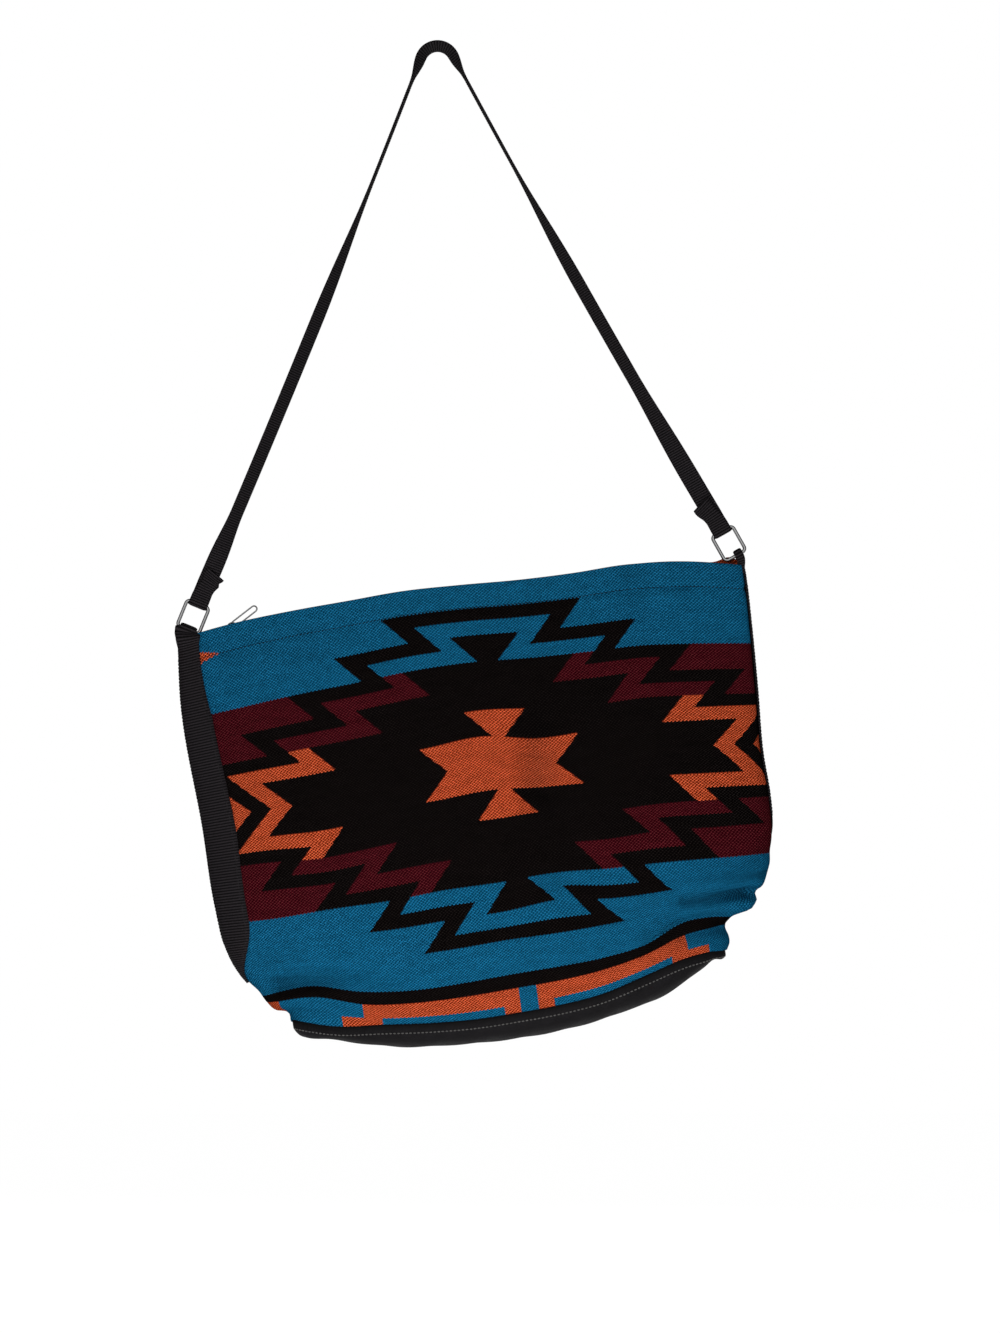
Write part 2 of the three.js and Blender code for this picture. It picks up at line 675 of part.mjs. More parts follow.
bag.add(
  part("front_panel", clothPanel(frontRounds), groundCloth),
  part("back_panel", clothPanel(backRounds), groundCloth),
  part("base_panel", basePanel(), baseCloth),
  part("left_side_webbing", sideWebbing(-1, leftLeg.lean + hangTilt), blackWebbing),
  part("right_side_webbing", sideWebbing(1, rightLeg.lean + hangTilt), blackWebbing),
  ...colourPatches(),
  zip,
  sliderGroup,
);

const shoulderBag = new THREE.Group();
shoulderBag.add(strap, ring("left_ring", leftLeg), ring("right_ring", rightLeg), bag);

export default shoulderBag;
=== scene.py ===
import json
import math

import bmesh
import bpy
import numpy as np
from mathutils import Matrix, Vector


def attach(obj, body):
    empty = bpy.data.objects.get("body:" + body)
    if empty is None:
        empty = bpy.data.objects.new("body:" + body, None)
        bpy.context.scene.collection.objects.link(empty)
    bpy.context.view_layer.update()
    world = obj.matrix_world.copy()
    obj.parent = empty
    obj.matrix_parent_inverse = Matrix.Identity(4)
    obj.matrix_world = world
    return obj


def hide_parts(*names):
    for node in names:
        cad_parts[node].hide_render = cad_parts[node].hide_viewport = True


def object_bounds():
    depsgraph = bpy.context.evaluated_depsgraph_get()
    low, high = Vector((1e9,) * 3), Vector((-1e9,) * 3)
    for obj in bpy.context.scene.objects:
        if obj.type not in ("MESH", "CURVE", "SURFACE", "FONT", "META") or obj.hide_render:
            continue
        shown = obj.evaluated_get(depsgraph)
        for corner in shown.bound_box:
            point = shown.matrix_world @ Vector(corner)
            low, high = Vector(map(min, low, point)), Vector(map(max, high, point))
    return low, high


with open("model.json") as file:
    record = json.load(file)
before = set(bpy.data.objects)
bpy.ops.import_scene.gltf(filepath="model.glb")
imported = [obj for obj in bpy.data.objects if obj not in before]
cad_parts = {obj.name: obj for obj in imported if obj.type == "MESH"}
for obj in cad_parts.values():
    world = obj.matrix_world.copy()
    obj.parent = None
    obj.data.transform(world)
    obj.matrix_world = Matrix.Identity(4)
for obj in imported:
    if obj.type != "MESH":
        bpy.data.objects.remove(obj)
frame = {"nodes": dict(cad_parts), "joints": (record.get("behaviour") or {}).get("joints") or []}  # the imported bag: metres, +Z up, front towards -Y, origin at the hang point
cadBox = [list(corner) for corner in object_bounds()]
print("frame loaded with", len(frame["nodes"]), "solids")
millimetre = 0.001  # in metres
backwards = np.array([0, 1, 0])


def linked(name, data):  # a new object in the scene
    holder = bpy.data.objects.new(name, data)
    bpy.context.scene.collection.objects.link(holder)
    return holder


# Camera, straight on to the front, framed as the photograph is
view = {
    "imageWide": 1000,  # photograph, pixels
    "imageHigh": 1333,
    "hangPixel": (437.5, 47),  # where the hang point is in it
    "pixelSize": 0.00085,  # metres at the bag
    "distance": 5,
    "sensor": 36,  # millimetres, along the picture's long side
}


def makeCamera():
    camera = bpy.data.cameras.new("camera")
    holder = linked("camera", camera)
    right = (view["imageWide"] / 2 - view["hangPixel"][0]) * view["pixelSize"]
    down = (view["imageHigh"] / 2 - view["hangPixel"][1]) * view["pixelSize"]
    holder.location = (right, -view["distance"], -down)
    holder.rotation_euler = (math.pi / 2, 0, 0)
    camera.sensor_width = view["sensor"]
    camera.lens = view["sensor"] * view["distance"] / (view["imageHigh"] * view["pixelSize"])
    bpy.context.scene.camera = holder


makeCamera()
print("camera placed")


def mathsNode(operation, swapped=False):  # a method of Wire that adds one Math node
    def method(self, other=None):
        values = [self] if other is None else [self, other]
        if swapped:
            values.reverse()
        return self.add("ShaderNodeMath", {"operation": operation}, dict(enumerate(values)))

    return method


# One socket of a node tree, so that shader maths reads as ordinary sums
class Wire:
    def __init__(self, tree, socket=None):
        self.tree = tree
        self.socket = socket

    def add(self, kind, settings=None, sockets=None, out=0):  # any node: type, settings, sockets
        node = self.tree.nodes.new(kind)
        for name, value in (settings or {}).items():
            setattr(node, name, value)
        for name, value in (sockets or {}).items():
            if isinstance(value, Wire):
                self.tree.links.new(value.socket, node.inputs[name])
            else:
                node.inputs[name].default_value = value
        return Wire(self.tree, node.outputs[out])

    def output(self, out):  # another output of the same node
        return Wire(self.tree, self.socket.node.outputs[out])

    __add__ = mathsNode("ADD")
    __radd__ = mathsNode("ADD", True)
    __sub__ = mathsNode("SUBTRACT")
    __rsub__ = mathsNode("SUBTRACT", True)
    __mul__ = mathsNode("MULTIPLY")
    __rmul__ = mathsNode("MULTIPLY", True)
    __truediv__ = mathsNode("DIVIDE")
    __mod__ = mathsNode("FLOORED_MODULO")
    __lt__ = mathsNode("LESS_THAN")
    __gt__ = mathsNode("GREATER_THAN")
    __abs__ = mathsNode("ABSOLUTE")
    floor = mathsNode("FLOOR")
    sine = mathsNode("SINE")
    least = mathsNode("MINIMUM")
    most = mathsNode("MAXIMUM")

    def mix(self, start, end):  # self is the share of end
        sockets = {0: self, 6: start, 7: end}
        return self.add("ShaderNodeMix", {"data_type": "RGBA"}, sockets, out=2)

    def shaded(self, colour):  # colour times self
        both = {0: 1, 6: colour, 7: self}
        return self.add("ShaderNodeMix", {"data_type": "RGBA", "blend_type": "MULTIPLY"}, both, out=2)


def opaque(colour):
    return (*colour, 1)


def newFinish(name, colour, roughness, metallic=0, shine=0.5):
    material = bpy.data.materials.new(name)
    material.use_nodes = True
    material.diffuse_color = opaque(colour)
    shader = material.node_tree.nodes["Principled BSDF"]
    shader.inputs["Base Color"].default_value = opaque(colour)
    shader.inputs["Roughness"].default_value = roughness
    shader.inputs["Metallic"].default_value = metallic
    shader.inputs["Specular IOR Level"].default_value = shine
    return material, shader, Wire(material.node_tree)


socketNames = {"colour": "Base Color", "roughness": "Roughness", "normal": "Normal"}


def join(shader, **links):  # feeds the shader's sockets
    for name, value in links.items():
        value.tree.links.new(value.socket, shader.inputs[socketNames[name]])


def raised(wire, height, distance):  # bump from a height of 0 to 1
    return wire.add("ShaderNodeBump", {}, {"Height": height, "Distance": distance, "Strength": 1})


def flatPlace(wire):  # the piece's own map, in millimetres
    uv = wire.add("ShaderNodeUVMap", {"uv_map": "flat"})
    split = uv.add("ShaderNodeSeparateXYZ", {}, {0: uv})
    return split * 1000, split.output(1) * 1000


def pointValue(wire, name):  # a value kept at the points of a mesh
    return wire.add("ShaderNodeAttribute", {"attribute_name": name}, out=2)


def clouds(wire, across, down, size, detail=2):  # soft noise, size in millimetres
    place = wire.add("ShaderNodeCombineXYZ", {}, {0: across / size, 1: down / size})
    return wire.add("ShaderNodeTexNoise", {}, {"Vector": place, "Scale": 1, "Detail": detail})


def scatter(wire, across, down):  # one random value for each whole pair
    place = wire.add("ShaderNodeCombineXYZ", {}, {0: across, 1: down})
    return wire.add("ShaderNodeTexWhiteNoise", {"noise_dimensions": "2D"}, {"Vector": place})


# Woven cloth: a stepped star design in teal, maroon and orange on black, in millimetres of flat cloth
cloth = {
    "floatWide": 3.2,  # spacing of the floats along a row; rows are laid like bricks
    "rowHigh": 1.21,
    "slant": 0.12,  # share of a float by which it leans over the height of its row
    "tooth": 1,  # how far floats stand over the edge of a colour
    "stray": 0.9,  # how far rows slip along each other, in floats
    "straySize": 3.5,  # size of that slip, down the cloth, and its share along a row
    "strayStretch": 0.12,
    "wander": 0.2,  # share of its place in a float by which a slanted edge steps
    "relief": 0.00028,
    "rounding": 0.6,  # how much thinner floats are at the edges of a row
    # painted light on the crowns of the floats
    "brightness": 1.85,
    "gap": 0.03,  # painted shade: brightness between floats
    "contrast": (1, 1),  # of the painted light and shade across a float: for dark yarn, and added for orange
    "toneRange": (0.3, 0.5),  # of single floats, and of patches
    "tonePatch": (6, 0.2),  # size of the patches, and their share along a row
    "toneLow": 0.6,
    "crestFrom": 0.6,  # how high on a float the painted highlight of its crest starts
    "crestSheen": 0.012,  # painted sheen: paleness of the crests
    "crestSheenColour": (0.7, 0.66, 0.62),
    "crest": 0.42,  # added painted highlight on orange yarn
    # colour of the painted highlight on orange yarn
    "crestColour": (0.9, 0.55, 0.32),
    "creaseShade": 0.45,  # painted shade: how much darker the colour is painted in the deepest creases
    "teal": (0.0024, 0.0715, 0.149),
    "maroon": (0.0362, 0.0007, 0.0037),
    "orange": (0.31, 0.034, 0.0075),
    "black": (0.0018, 0.0011, 0.0011),
}
design = {
    "x": 14,  # middle of the design
    "z": -154.4,
    "rowHigh": 23,  # height of a step, how far its edge leans, and how far the next one stands out
    "rowSlant": 20.8,
    "stepRun": 43.6,
    "steps": 5,
    "waist": 3.4,  # half the height of the plain strip through the middle
    "outlineTip": 86,
    "outlineTop": 6,  # in rows above the waist
    "bandShift": 28,  # how far each figure stands inside the last
    "bandDrop": 0.5,
    "starZ": -149,
    "star": (25.5, 2.04, 2, 0, 41.7),  # its tip, top row, steps, waist and the run of a step
    "orangeRows": 2,  # rows of colour from the waist
    "maroonRows": 4,
    "cornerTip": (-211, -12.7),
    "cornerSlope": 4.2 / 16,
    "lineTop": -326,  # dark line over the border
    "lineLow": -338.7,
    "borderX": 10.5,
    "bracketNear": 7.6,
    "bracketFar": 140,
    "bracketBar": 16,
    "bracketLeg": 13.6,
    "bracketFoot": (125, 159),
    "bracketNext": 213,
    "edgePatch": (-205, 240, 8),  # orange inside the turned edge at its ends
}


def insideFigure(across, up, tip, topRow, rows, waist, run):  # within a stepped figure, mirrored four ways
    fromTop = topRow - (up - waist) / design["rowHigh"]
    step = fromTop.floor().most(0).least(rows - 1)
    edge = tip + step * run - (fromTop - step) * design["rowSlant"]
    return (across < edge) * (fromTop > 0)


def between(value, low, high):
    return (value > low) * (value < high)


def designColour(across, down):
    d = design
    fromMiddle = abs(across - d["x"])
    up = abs(down - d["z"])
    waist = d["waist"]
    figures = []
    for k in range(3):
        tip, top = d["outlineTip"] - k * d["bandShift"], d["outlineTop"] - k * d["bandDrop"]
        figures.append(insideFigure(fromMiddle, up, tip, top, d["steps"], waist, d["stepRun"]))
    outline, bandOuter, bandInner = figures
    star = insideFigure(fromMiddle, abs(down - d["starZ"]), *d["star"])
    yarn = (1 - outline).most(bandOuter * (1 - bandInner))
    maroon = up < waist + d["maroonRows"] * d["rowHigh"]
    orange = up < waist + d["orangeRows"] * d["rowHigh"]
    # The border over the base: a dark line, then orange brackets on teal
    line = between(down, d["lineLow"], d["lineTop"])
    border = down < d["lineLow"]
    fromBorder = abs(across - d["borderX"])
    under = d["lineLow"] - down
    near, bar = d["bracketNear"], d["bracketBar"]
    nextBar = across < d["borderX"] - d["bracketNext"]
    topBar = (under < bar) * between(fromBorder, near, d["bracketFar"]).most(nextBar)
    leg = between(fromBorder, near, near + d["bracketLeg"])
    legs = (under > bar) * leg.most(between(fromBorder, *d["bracketFoot"]))
    bracket = border * topBar.most(legs)
    # Orange at the top corners
    cornerX, cornerZ = d["cornerTip"]
    triangle = abs(down - cornerZ) < (cornerX - across) * d["cornerSlope"]
    triangle = triangle * (across < cornerX)
    left, right, low = d["edgePatch"]
    corners = triangle.most((across < left).most(across > right) * (down > low))
    ground, tealYarn = opaque(cloth["black"]), opaque(cloth["teal"])
    maroonYarn, orangeYarn = opaque(cloth["maroon"]), opaque(cloth["orange"])
    colour = yarn.mix(ground, orange.mix(maroon.mix(tealYarn, maroonYarn), orangeYarn))
    colour = star.most(corners).mix(colour, orangeYarn)
    colour = line.mix(colour, ground)
    return bracket.mix(border.mix(colour, tealYarn), orangeYarn)


def makeWovenCloth():
    c = cloth
    material, shader, wire = newFinish("wovenCloth", c["teal"], 0.92, shine=0)
    across, down = flatPlace(wire)
    row = (down / c["rowHigh"]).floor()
    inRow = down / c["rowHigh"] - row - 0.5
    stray = clouds(wire, across * c["strayStretch"], down, c["straySize"]) - 0.5
    slide = across / c["floatWide"] + (row % 2) * 0.5 - inRow * c["slant"] + stray * c["stray"]
    column = slide.floor()
    off = abs(slide - column - 0.5) * 2
    crown = 1 - off * off
    rowEnd = inRow * inRow * 4
    strand = crown * (1 - rowEnd * c["rounding"])
    toothed = ((down + crown * c["tooth"]) / c["rowHigh"]).floor()
    inFloat = (column + 0.5 - slide) * c["floatWide"]
    middle = across + inFloat * c["wander"]
    colour = designColour(middle, (toothed + 0.3) * c["rowHigh"])
    size, stretch = c["tonePatch"]
    tone = scatter(wire, column, row) * c["toneRange"][0]
    tone = tone + clouds(wire, across * stretch, down, size) * c["toneRange"][1]
    bright = wire.add("ShaderNodeSeparateColor", {}, {0: colour})  # orange floats stand out most
    contrast = bright * c["contrast"][1] + c["contrast"][0]
    # painted shade: the colour is painted darker in the valleys of the cloth's folds
    paintedCreaseShade = pointValue(wire, "paintedCreaseShade") * c["creaseShade"]
    # painted light and shade on each float: bright on its crown, dark in the gaps between floats
    light = ((strand * c["brightness"] + c["gap"] - 1) * contrast + 1).most(c["gap"])
    light = light * (tone + c["toneLow"]) * (1 - paintedCreaseShade)
    # painted highlight: a pale sheen on the crest of each float, warmer and stronger on orange yarn
    crest = (strand - c["crestFrom"]).most(0) * (1 / (1 - c["crestFrom"])) * (tone + c["toneLow"])
    colour = (crest * c["crestSheen"]).mix(light.shaded(colour), opaque(c["crestSheenColour"]))
    colour = (crest * bright * c["crest"]).mix(colour, opaque(c["crestColour"]))
    join(shader, colour=colour, normal=raised(wire, strand, c["relief"]))
    return material


def makeWebbing():
    material, shader, wire = newFinish("blackWebbing", (0.01, 0.009, 0.01), 0.62, shine=0.07)
    across, along = flatPlace(wire)
    rib = abs((along * math.pi).sine())  # along counts ribs
    thread = abs((across * 2.4).sine())
    fuzz = clouds(wire, across, along * 2.2, 0.7)
    # painted shade: the colour is darker in the grooves between the ribs
    light = rib * rib * (thread * 0.5 + 1.3) + fuzz * 0.5 - 0.25
    join(shader, colour=light.most(0.05).shaded((0.0135, 0.0115, 0.013, 1)))
    join(shader, normal=raised(wire, thread + fuzz, 0.00012), roughness=0.5 + fuzz * 0.3)
    return material


def makeBaseCloth():
    material, shader, wire = newFinish("baseCloth", (0.009, 0.0085, 0.0092), 0.6, shine=0.1)
    across, along = flatPlace(wire)
    twill = ((across + along) * 5.2).sine() * 0.5 + 0.5
    scuff = clouds(wire, across, along * 2, 9, 4)
    rim = pointValue(wire, "rim")
    # painted shade: the base is darker along its rim, where it meets the seam under the cloth's edge
    light = (twill * 0.35 + scuff * 1.1 + 0.25) * (1 - rim * 0.6)
    join(shader, colour=light.shaded((0.0068, 0.0062, 0.007, 1)), normal=raised(wire, twill, 0.00008))
    join(shader, roughness=0.42 + scuff * 0.35)
    return material


def makeThread(name, colour):
    material, shader, wire = newFinish(name, colour, 0.7, shine=0.15)
    spot = wire.add("ShaderNodeTexCoord", out=3)
    fuzz = wire.add("ShaderNodeTexNoise", {}, {"Vector": spot, "Scale": 1500, "Detail": 1})
    join(shader, colour=(fuzz * 0.9 + 0.55).shaded(opaque(colour)), normal=raised(wire, fuzz, 0.0002))
    return material


def makeSteel():
    grey = (0.4, 0.4, 0.4)
    material, shader, wire = newFinish("polishedSteel", grey, 0.16, metallic=1)
    spot = wire.add("ShaderNodeTexCoord", out=3)
    marks = wire.add("ShaderNodeTexNoise", {}, {"Vector": spot, "Scale": 700, "Detail": 4})
    dull = wire.add("ShaderNodeTexNoise", {}, {"Vector": spot, "Scale": 90, "Detail": 2})
    join(shader, roughness=marks * 0.12 + dull * 0.16 + 0.04, normal=raised(wire, marks, 0.00002))
    join(shader, colour=(dull * 0.3 + 0.8).shaded(opaque(grey)))
    return material


def makeZipTape():
    black = (0.011, 0.01, 0.011)
    material, shader, wire = newFinish("zipTape", black, 0.8, shine=0.15)
    across, along = flatPlace(wire)
    rib = abs((across * 4).sine())
    cross = abs((along * 4).sine())
    light = rib * cross * 0.9 + 0.5
    join(shader, colour=light.shaded(opaque(black)), normal=raised(wire, rib * cross, 0.0001))
    return material


wovenCloth = makeWovenCloth()
blackWebbing = makeWebbing()
baseCloth = makeBaseCloth()
polishedSteel = makeSteel()
zipTapeCloth = makeZipTape()
paleThread = makeThread("paleThread", (0.085, 0.083, 0.08))
darkThread = makeThread("darkThread", (0.012, 0.011, 0.012))
hemThread = makeThread("hemThread", (0.001, 0.009, 0.018))
zipNylon = makeThread("zipNylon", (0.014, 0.013, 0.014))
print("finishes made:", len(bpy.data.materials))


# Mesh helpers; points are in metres, grids are rows of points
def gridFaces(rows, columns, loopRows=False, loopColumns=False):
    i, j = np.meshgrid(
        np.arange(rows if loopRows else rows - 1),
        np.arange(columns if loopColumns else columns - 1),
        indexing="ij",
    )
    a, b = i * columns, (i + 1) % rows * columns
    k = (j + 1) % columns
    return np.stack([a + j, a + k, b + k, b + j], -1).reshape(-1, 4).tolist()


def newPiece(name, points, faces, material, uv=None, fields=None, smooth=60):
    mesh = bpy.data.meshes.new(name)
    mesh.from_pydata(np.asarray(points).reshape(-1, 3).tolist(), [], faces)
    if uv is not None:
        corner = np.empty(len(mesh.loops), np.int32)
        mesh.loops.foreach_get("vertex_index", corner)
        layer = mesh.uv_layers.new(name="flat")
        layer.data.foreach_set("uv", np.asarray(uv).reshape(-1, 2)[corner].ravel().astype(np.float32))
    for field, values in (fields or {}).items():
        layer = mesh.attributes.new(field, "FLOAT", "POINT")
        layer.data.foreach_set("value", np.asarray(values).ravel().astype(np.float32))
    mesh.materials.append(material)
    mesh.update()
    turnOutwards(mesh)
    mesh.shade_smooth()
    if smooth < 180:
        mesh.set_sharp_from_angle(angle=math.radians(smooth))
    return linked(name, mesh)


def turnOutwards(mesh):
    work = bmesh.new()
    work.from_mesh(mesh)
    bmesh.ops.recalc_face_normals(work, faces=work.faces)
    work.to_mesh(mesh)
    work.free()


def aimFaces(piece, axis, side):  # an open sheet has no inside, so its face is turned to one side
    facing = sum(face.normal[axis] * face.area for face in piece.data.polygons)
    if facing * side < 0:
        piece.data.flip_normals()


def keepResult(piece, modifier):  # leaves what a modifier makes as a plain mesh
    bpy.context.view_layer.update()
    made = piece.evaluated_get(bpy.context.evaluated_depsgraph_get())
    mesh = bpy.data.meshes.new_from_object(made)
    piece.modifiers.remove(modifier)
    piece.data = mesh


def thicken(piece, thickness):  # gives a sheet its wall, inwards from its face
    solid = piece.modifiers.new("thickness", "SOLIDIFY")
    solid.thickness = thickness
    solid.offset = -1
    keepResult(piece, solid)


def ease(value, start=0, end=1):  # smoothly from 0 at start to 1 at end
    share = np.clip((value - start) / (end - start), 0, 1)
    return share * share * (3 - 2 * share)


def bell(value, middle, wide):
    return np.exp(-(((value - middle) / wide) ** 2))


def blend(start, end, share):
    return start + (end - start) * share


def unit(vectors):
    return vectors / np.maximum(np.linalg.norm(vectors, axis=-1, keepdims=True), 1e-12)


def flow(knots, values, at):  # smooth curve through values set at knots
    knots = np.asarray(knots, float)
    values = np.asarray(values, float)
    slope = np.gradient(values, knots, axis=0)
    i = np.clip(np.searchsorted(knots, at, side="right") - 1, 0, len(knots) - 2)
    gap = knots[i + 1] - knots[i]
    t = np.clip((at - knots[i]) / gap, 0, 1)
    shape = (-1,) + (1,) * (values.ndim - 1)
    gap, t = gap.reshape(shape), t.reshape(shape)
    start = (1 + 2 * t) * (1 - t) ** 2 * values[i] + t * (1 - t) ** 2 * gap * slope[i]
    return start + t * t * (3 - 2 * t) * values[i + 1] + t * t * (t - 1) * gap * slope[i + 1]


def gridNormals(grid):
    return unit(np.cross(np.gradient(grid, axis=1), np.gradient(grid, axis=0)))


def outwardNormals(grid):  # of cloth or webbing on the front or the back of the bag
    normal = gridNormals(grid)
    return normal * np.where((normal * grid * [0.02, 1, 0]).sum(-1, keepdims=True) < 0, -1, 1)


def endFaces(rows, columns):  # closes the two ends of a flat tube
    return [
        [first + j, first + j + 1, first + columns - 2 - j, first + columns - 1 - j]
        for first in (0, (rows - 1) * columns)
        for j in range(columns // 2 - 1)
    ]


def lengthAlong(line):
    return np.concatenate([[0], np.cumsum(np.linalg.norm(np.diff(line, axis=0), axis=1))])


# Geometry Nodes trees
def newTree(name, sizes):  # a tree with a mesh input, the named sizes and a material
    tree = bpy.data.node_groups.new(name, "GeometryNodeTree")
    tree.interface.new_socket(name="Mesh", in_out="INPUT", socket_type="NodeSocketGeometry")
    for size in sizes:
        tree.interface.new_socket(name=size, in_out="INPUT", socket_type="NodeSocketFloat")
    tree.interface.new_socket(name="Finish", in_out="INPUT", socket_type="NodeSocketMaterial")
    tree.interface.new_socket(name="Mesh", in_out="OUTPUT", socket_type="NodeSocketGeometry")
    entry = tree.nodes.new("NodeGroupInput")
    return tree, {socket.name: Wire(tree, socket) for socket in entry.outputs if socket.name}


def endTree(tree, shape, finish):
    whole = shape.add("GeometryNodeRealizeInstances", {}, {"Geometry": shape})
    done = whole.add("GeometryNodeSetMaterial", {}, {"Geometry": whole, "Material": finish})
    outlet = tree.nodes.new("NodeGroupOutput")
    tree.links.new(done.socket, outlet.inputs[0])
    return tree


def makeRibTree():  # cross ribs of webbing: the surface rises and falls along the length
    tree, inputs = newTree("webbingRibs", ["Pitch", "Height"])
    along, flatness = [
        inputs["Mesh"].add("GeometryNodeInputNamedAttribute", {"data_type": "FLOAT"}, {"Name": name})
        for name in ("along", "flatness")
    ]
    rise = abs((along / inputs["Pitch"] * math.pi).sine()) * inputs["Height"] * flatness
    normal = rise.add("GeometryNodeInputNormal")
    offset = rise.add("ShaderNodeVectorMath", {"operation": "SCALE"}, {0: normal, "Scale": rise})
    shape = offset.add("GeometryNodeSetPosition", {}, {"Geometry": inputs["Mesh"], "Offset": offset})
    return endTree(tree, shape, inputs["Finish"])


def makeRowTree():  # stitches or zip teeth: one bead at each step along a line
    tree, inputs = newTree("beadRow", ["Pitch", "Length", "Width", "Height"])
    start = inputs["Mesh"]
    curve = start.add("GeometryNodeMeshToCurve", {}, {"Mesh": start})
    spots = curve.add(
        "GeometryNodeResampleCurve", {"mode": "LENGTH"}, {"Curve": curve, "Length": inputs["Pitch"]}
    )
    bead = start.add("GeometryNodeMeshUVSphere", {}, {"Segments": 10, "Rings": 6, "Radius": 0.5})
    sizes = start.add(
        "ShaderNodeCombineXYZ", {}, {0: inputs["Length"], 1: inputs["Width"], 2: inputs["Height"]}
    )
    tangent = start.add("GeometryNodeInputTangent")
    turn = start.add("FunctionNodeAlignRotationToVector", {"axis": "X"}, {"Vector": tangent})
    row = spots.add(
        "GeometryNodeInstanceOnPoints",
        {},
        {"Points": spots, "Instance": bead, "Rotation": turn, "Scale": sizes},
    )
    return endTree(tree, row, inputs["Finish"])


def throughTree(piece, tree, finish, **sizes):  # runs a tree on a piece and keeps the result as a plain mesh
    modifier = piece.modifiers.new(tree.name, "NODES")
    modifier.node_group = tree
    for item in tree.interface.items_tree:
        if item.in_out == "INPUT" and item.name in sizes:
            modifier[item.identifier] = sizes[item.name]
        if item.in_out == "INPUT" and item.name == "Finish":
            modifier[item.identifier] = finish
    keepResult(piece, modifier)
    piece.data.shade_smooth()
    return piece


ribTree = makeRibTree()
rowTree = makeRowTree()


def beadRow(name, lines, finish, pitch, length, width, height):  # lines are lists of points in metres
    points = np.concatenate(lines)
    first = np.cumsum([0] + [len(line) for line in lines[:-1]])
    edges = [(f + k, f + k + 1) for f, line in zip(first, lines) for k in range(len(line) - 1)]
    mesh = bpy.data.meshes.new(name)
    mesh.from_pydata(points.tolist(), edges, [])
    sizes = {"Pitch": pitch, "Length": length, "Width": width, "Height": height}
    return throughTree(linked(name, mesh), rowTree, finish, **sizes)


print("node trees built")

# The bag's own frame, in millimetres along the ring line, back and up
joints = {joint["name"]: joint for joint in frame["joints"]}
bagOrigin = np.array(joints["bag_swing"]["pos_m"])
bagRight = np.array(joints["bag_swing"]["axis"])
bagUp = np.array([-bagRight[2], 0, bagRight[0]])
hangTilt = math.atan2(bagRight[2], bagRight[0])


def alongAxes(points, right, up):
    points = np.asarray(points, float)
    return points[..., :1] * right + points[..., 1:2] * backwards + points[..., 2:] * up


def fromBag(points):  # bag millimetres to metres of the frame
    return bagOrigin + millimetre * alongAxes(points, bagRight, bagUp)


# Hanging body: a flat woven bag, deepest at its base, with drawn-in lower corners
body = {
    "topMiddle": 6.3,  # top edge above the ring line
    "seamDepth": 366,
    "topHalfDepth": 10,
    "baseHalfDepth": 46,
    "depthPower": 1.15,
    "section": (4, 2.5),  # 2 is an ellipse, higher is squarer: at the top, and low down
    "sectionEnd": 0.6,
    "sectionSteps": 300,
    # how far the woven rows hang below level: depth, then at each share from the left fold to the right
    "shares": (-1, -0.8, -0.6, -0.4, -0.2, 0, 0.2, 0.4, 0.6, 0.8, 1),
    "rows": [
        (0, (12, 5.5, 2, 0, -2, -0.5, 1.7, 2.2, 1, 5, 14.3)),
        (45, (16, 10.5, 5.8, 3, -0.5, -0.3, 2.5, 4, 4.3, 9, 16)),
        (110, (13.8, 10.1, 7.1, 3.9, 0.6, -1.6, 2.2, 3.3, 2.9, 7, 12)),
        (137, (11.4, 8.5, 6.6, 3.6, 1.5, -2.6, 5.3, 4.9, 2.1, 5, 9.4)),
        (177, (4.4, 2.8, 2.8, 0, -1.8, -5, -1.8, 0.3, -4.6, -1.3, 3.4)),
        (205, (1.1, 0.7, 2.8, -0.6, -4.2, -3.3, -4.7, -4, -4.4, -1.6, 2.5)),
        (230, (0.8, 1, 2.2, -1.3, -4, -4.3, -6.4, -4.2, -5, -1.8, 0.8)),
        (255, (1.5, 2.2, 0.5, 0, -2.8, -3, -5, -2.5, -1.2, 1.5, 4.2)),
        (272, (0.5, 1.2, 0.3, 1, -1.1, -1.6, -6, -0.2, 0.7, -0.4, -0.8)),
        (300, (-3, -3.5, 0, 2, 1.5, 0, -0.5, -2, -5, -11.5, -20)),
        (332, (-9.4, -13.5, -3.5, 0.9, 0.5, -1.5, -2.6, -4.7, -10.7, -24.6, -23.5)),
        (345, (-16.8, -17.2, -5.5, -1.5, -1.1, -2.6, -4.1, -7.6, -15.1, -27.1, -30)),
        (372.3, (-24.7, -14.9, -11.4, -7.7, -5.7, -6.4, -8.2, -12.7, -22.4, -32.2, -35.7)),
    ],
    # height and reach of the side folds
    "left": [
        (10, 240.5), (-20, 243.5), (-56, 247), (-169, 243.5), (-235, 242), (-269, 238), (-288, 232),
        (-303, 223.5), (-311, 217), (-322, 211), (-330, 204.5), (-335, 196), (-341, 193), (-349, 190),
    ],
    "right": [
        (10, 238), (-22, 239), (-65, 238.4), (-113, 236.6), (-169, 233.8), (-207, 235), (-243, 232.5),
        (-264, 227.5), (-275, 221), (-281, 215), (-287, 213), (-292, 212.5), (-298, 203), (-301.5, 192.5),
        (-306, 187), (-314, 185), (-326, 184.5), (-332, 182),
    ],
}
clothLength = body["topMiddle"] + body["seamDepth"]


def rowHeight(across, down):  # height of a woven row; across is -1 at the left fold, 1 at the right
    depths, droops = zip(*body["rows"])
    droop = flow(depths, droops, np.array([down]))[0]
    return body["topMiddle"] - down - flow(body["shares"], droop, across)


def foldReach(side, down):  # how far a side fold stands from the middle of the bag
    points = body["left" if side < 0 else "right"][::-1]
    heights, reaches = zip(*points)
    return flow(heights, reaches, rowHeight(np.array([float(side)]), down))[0]


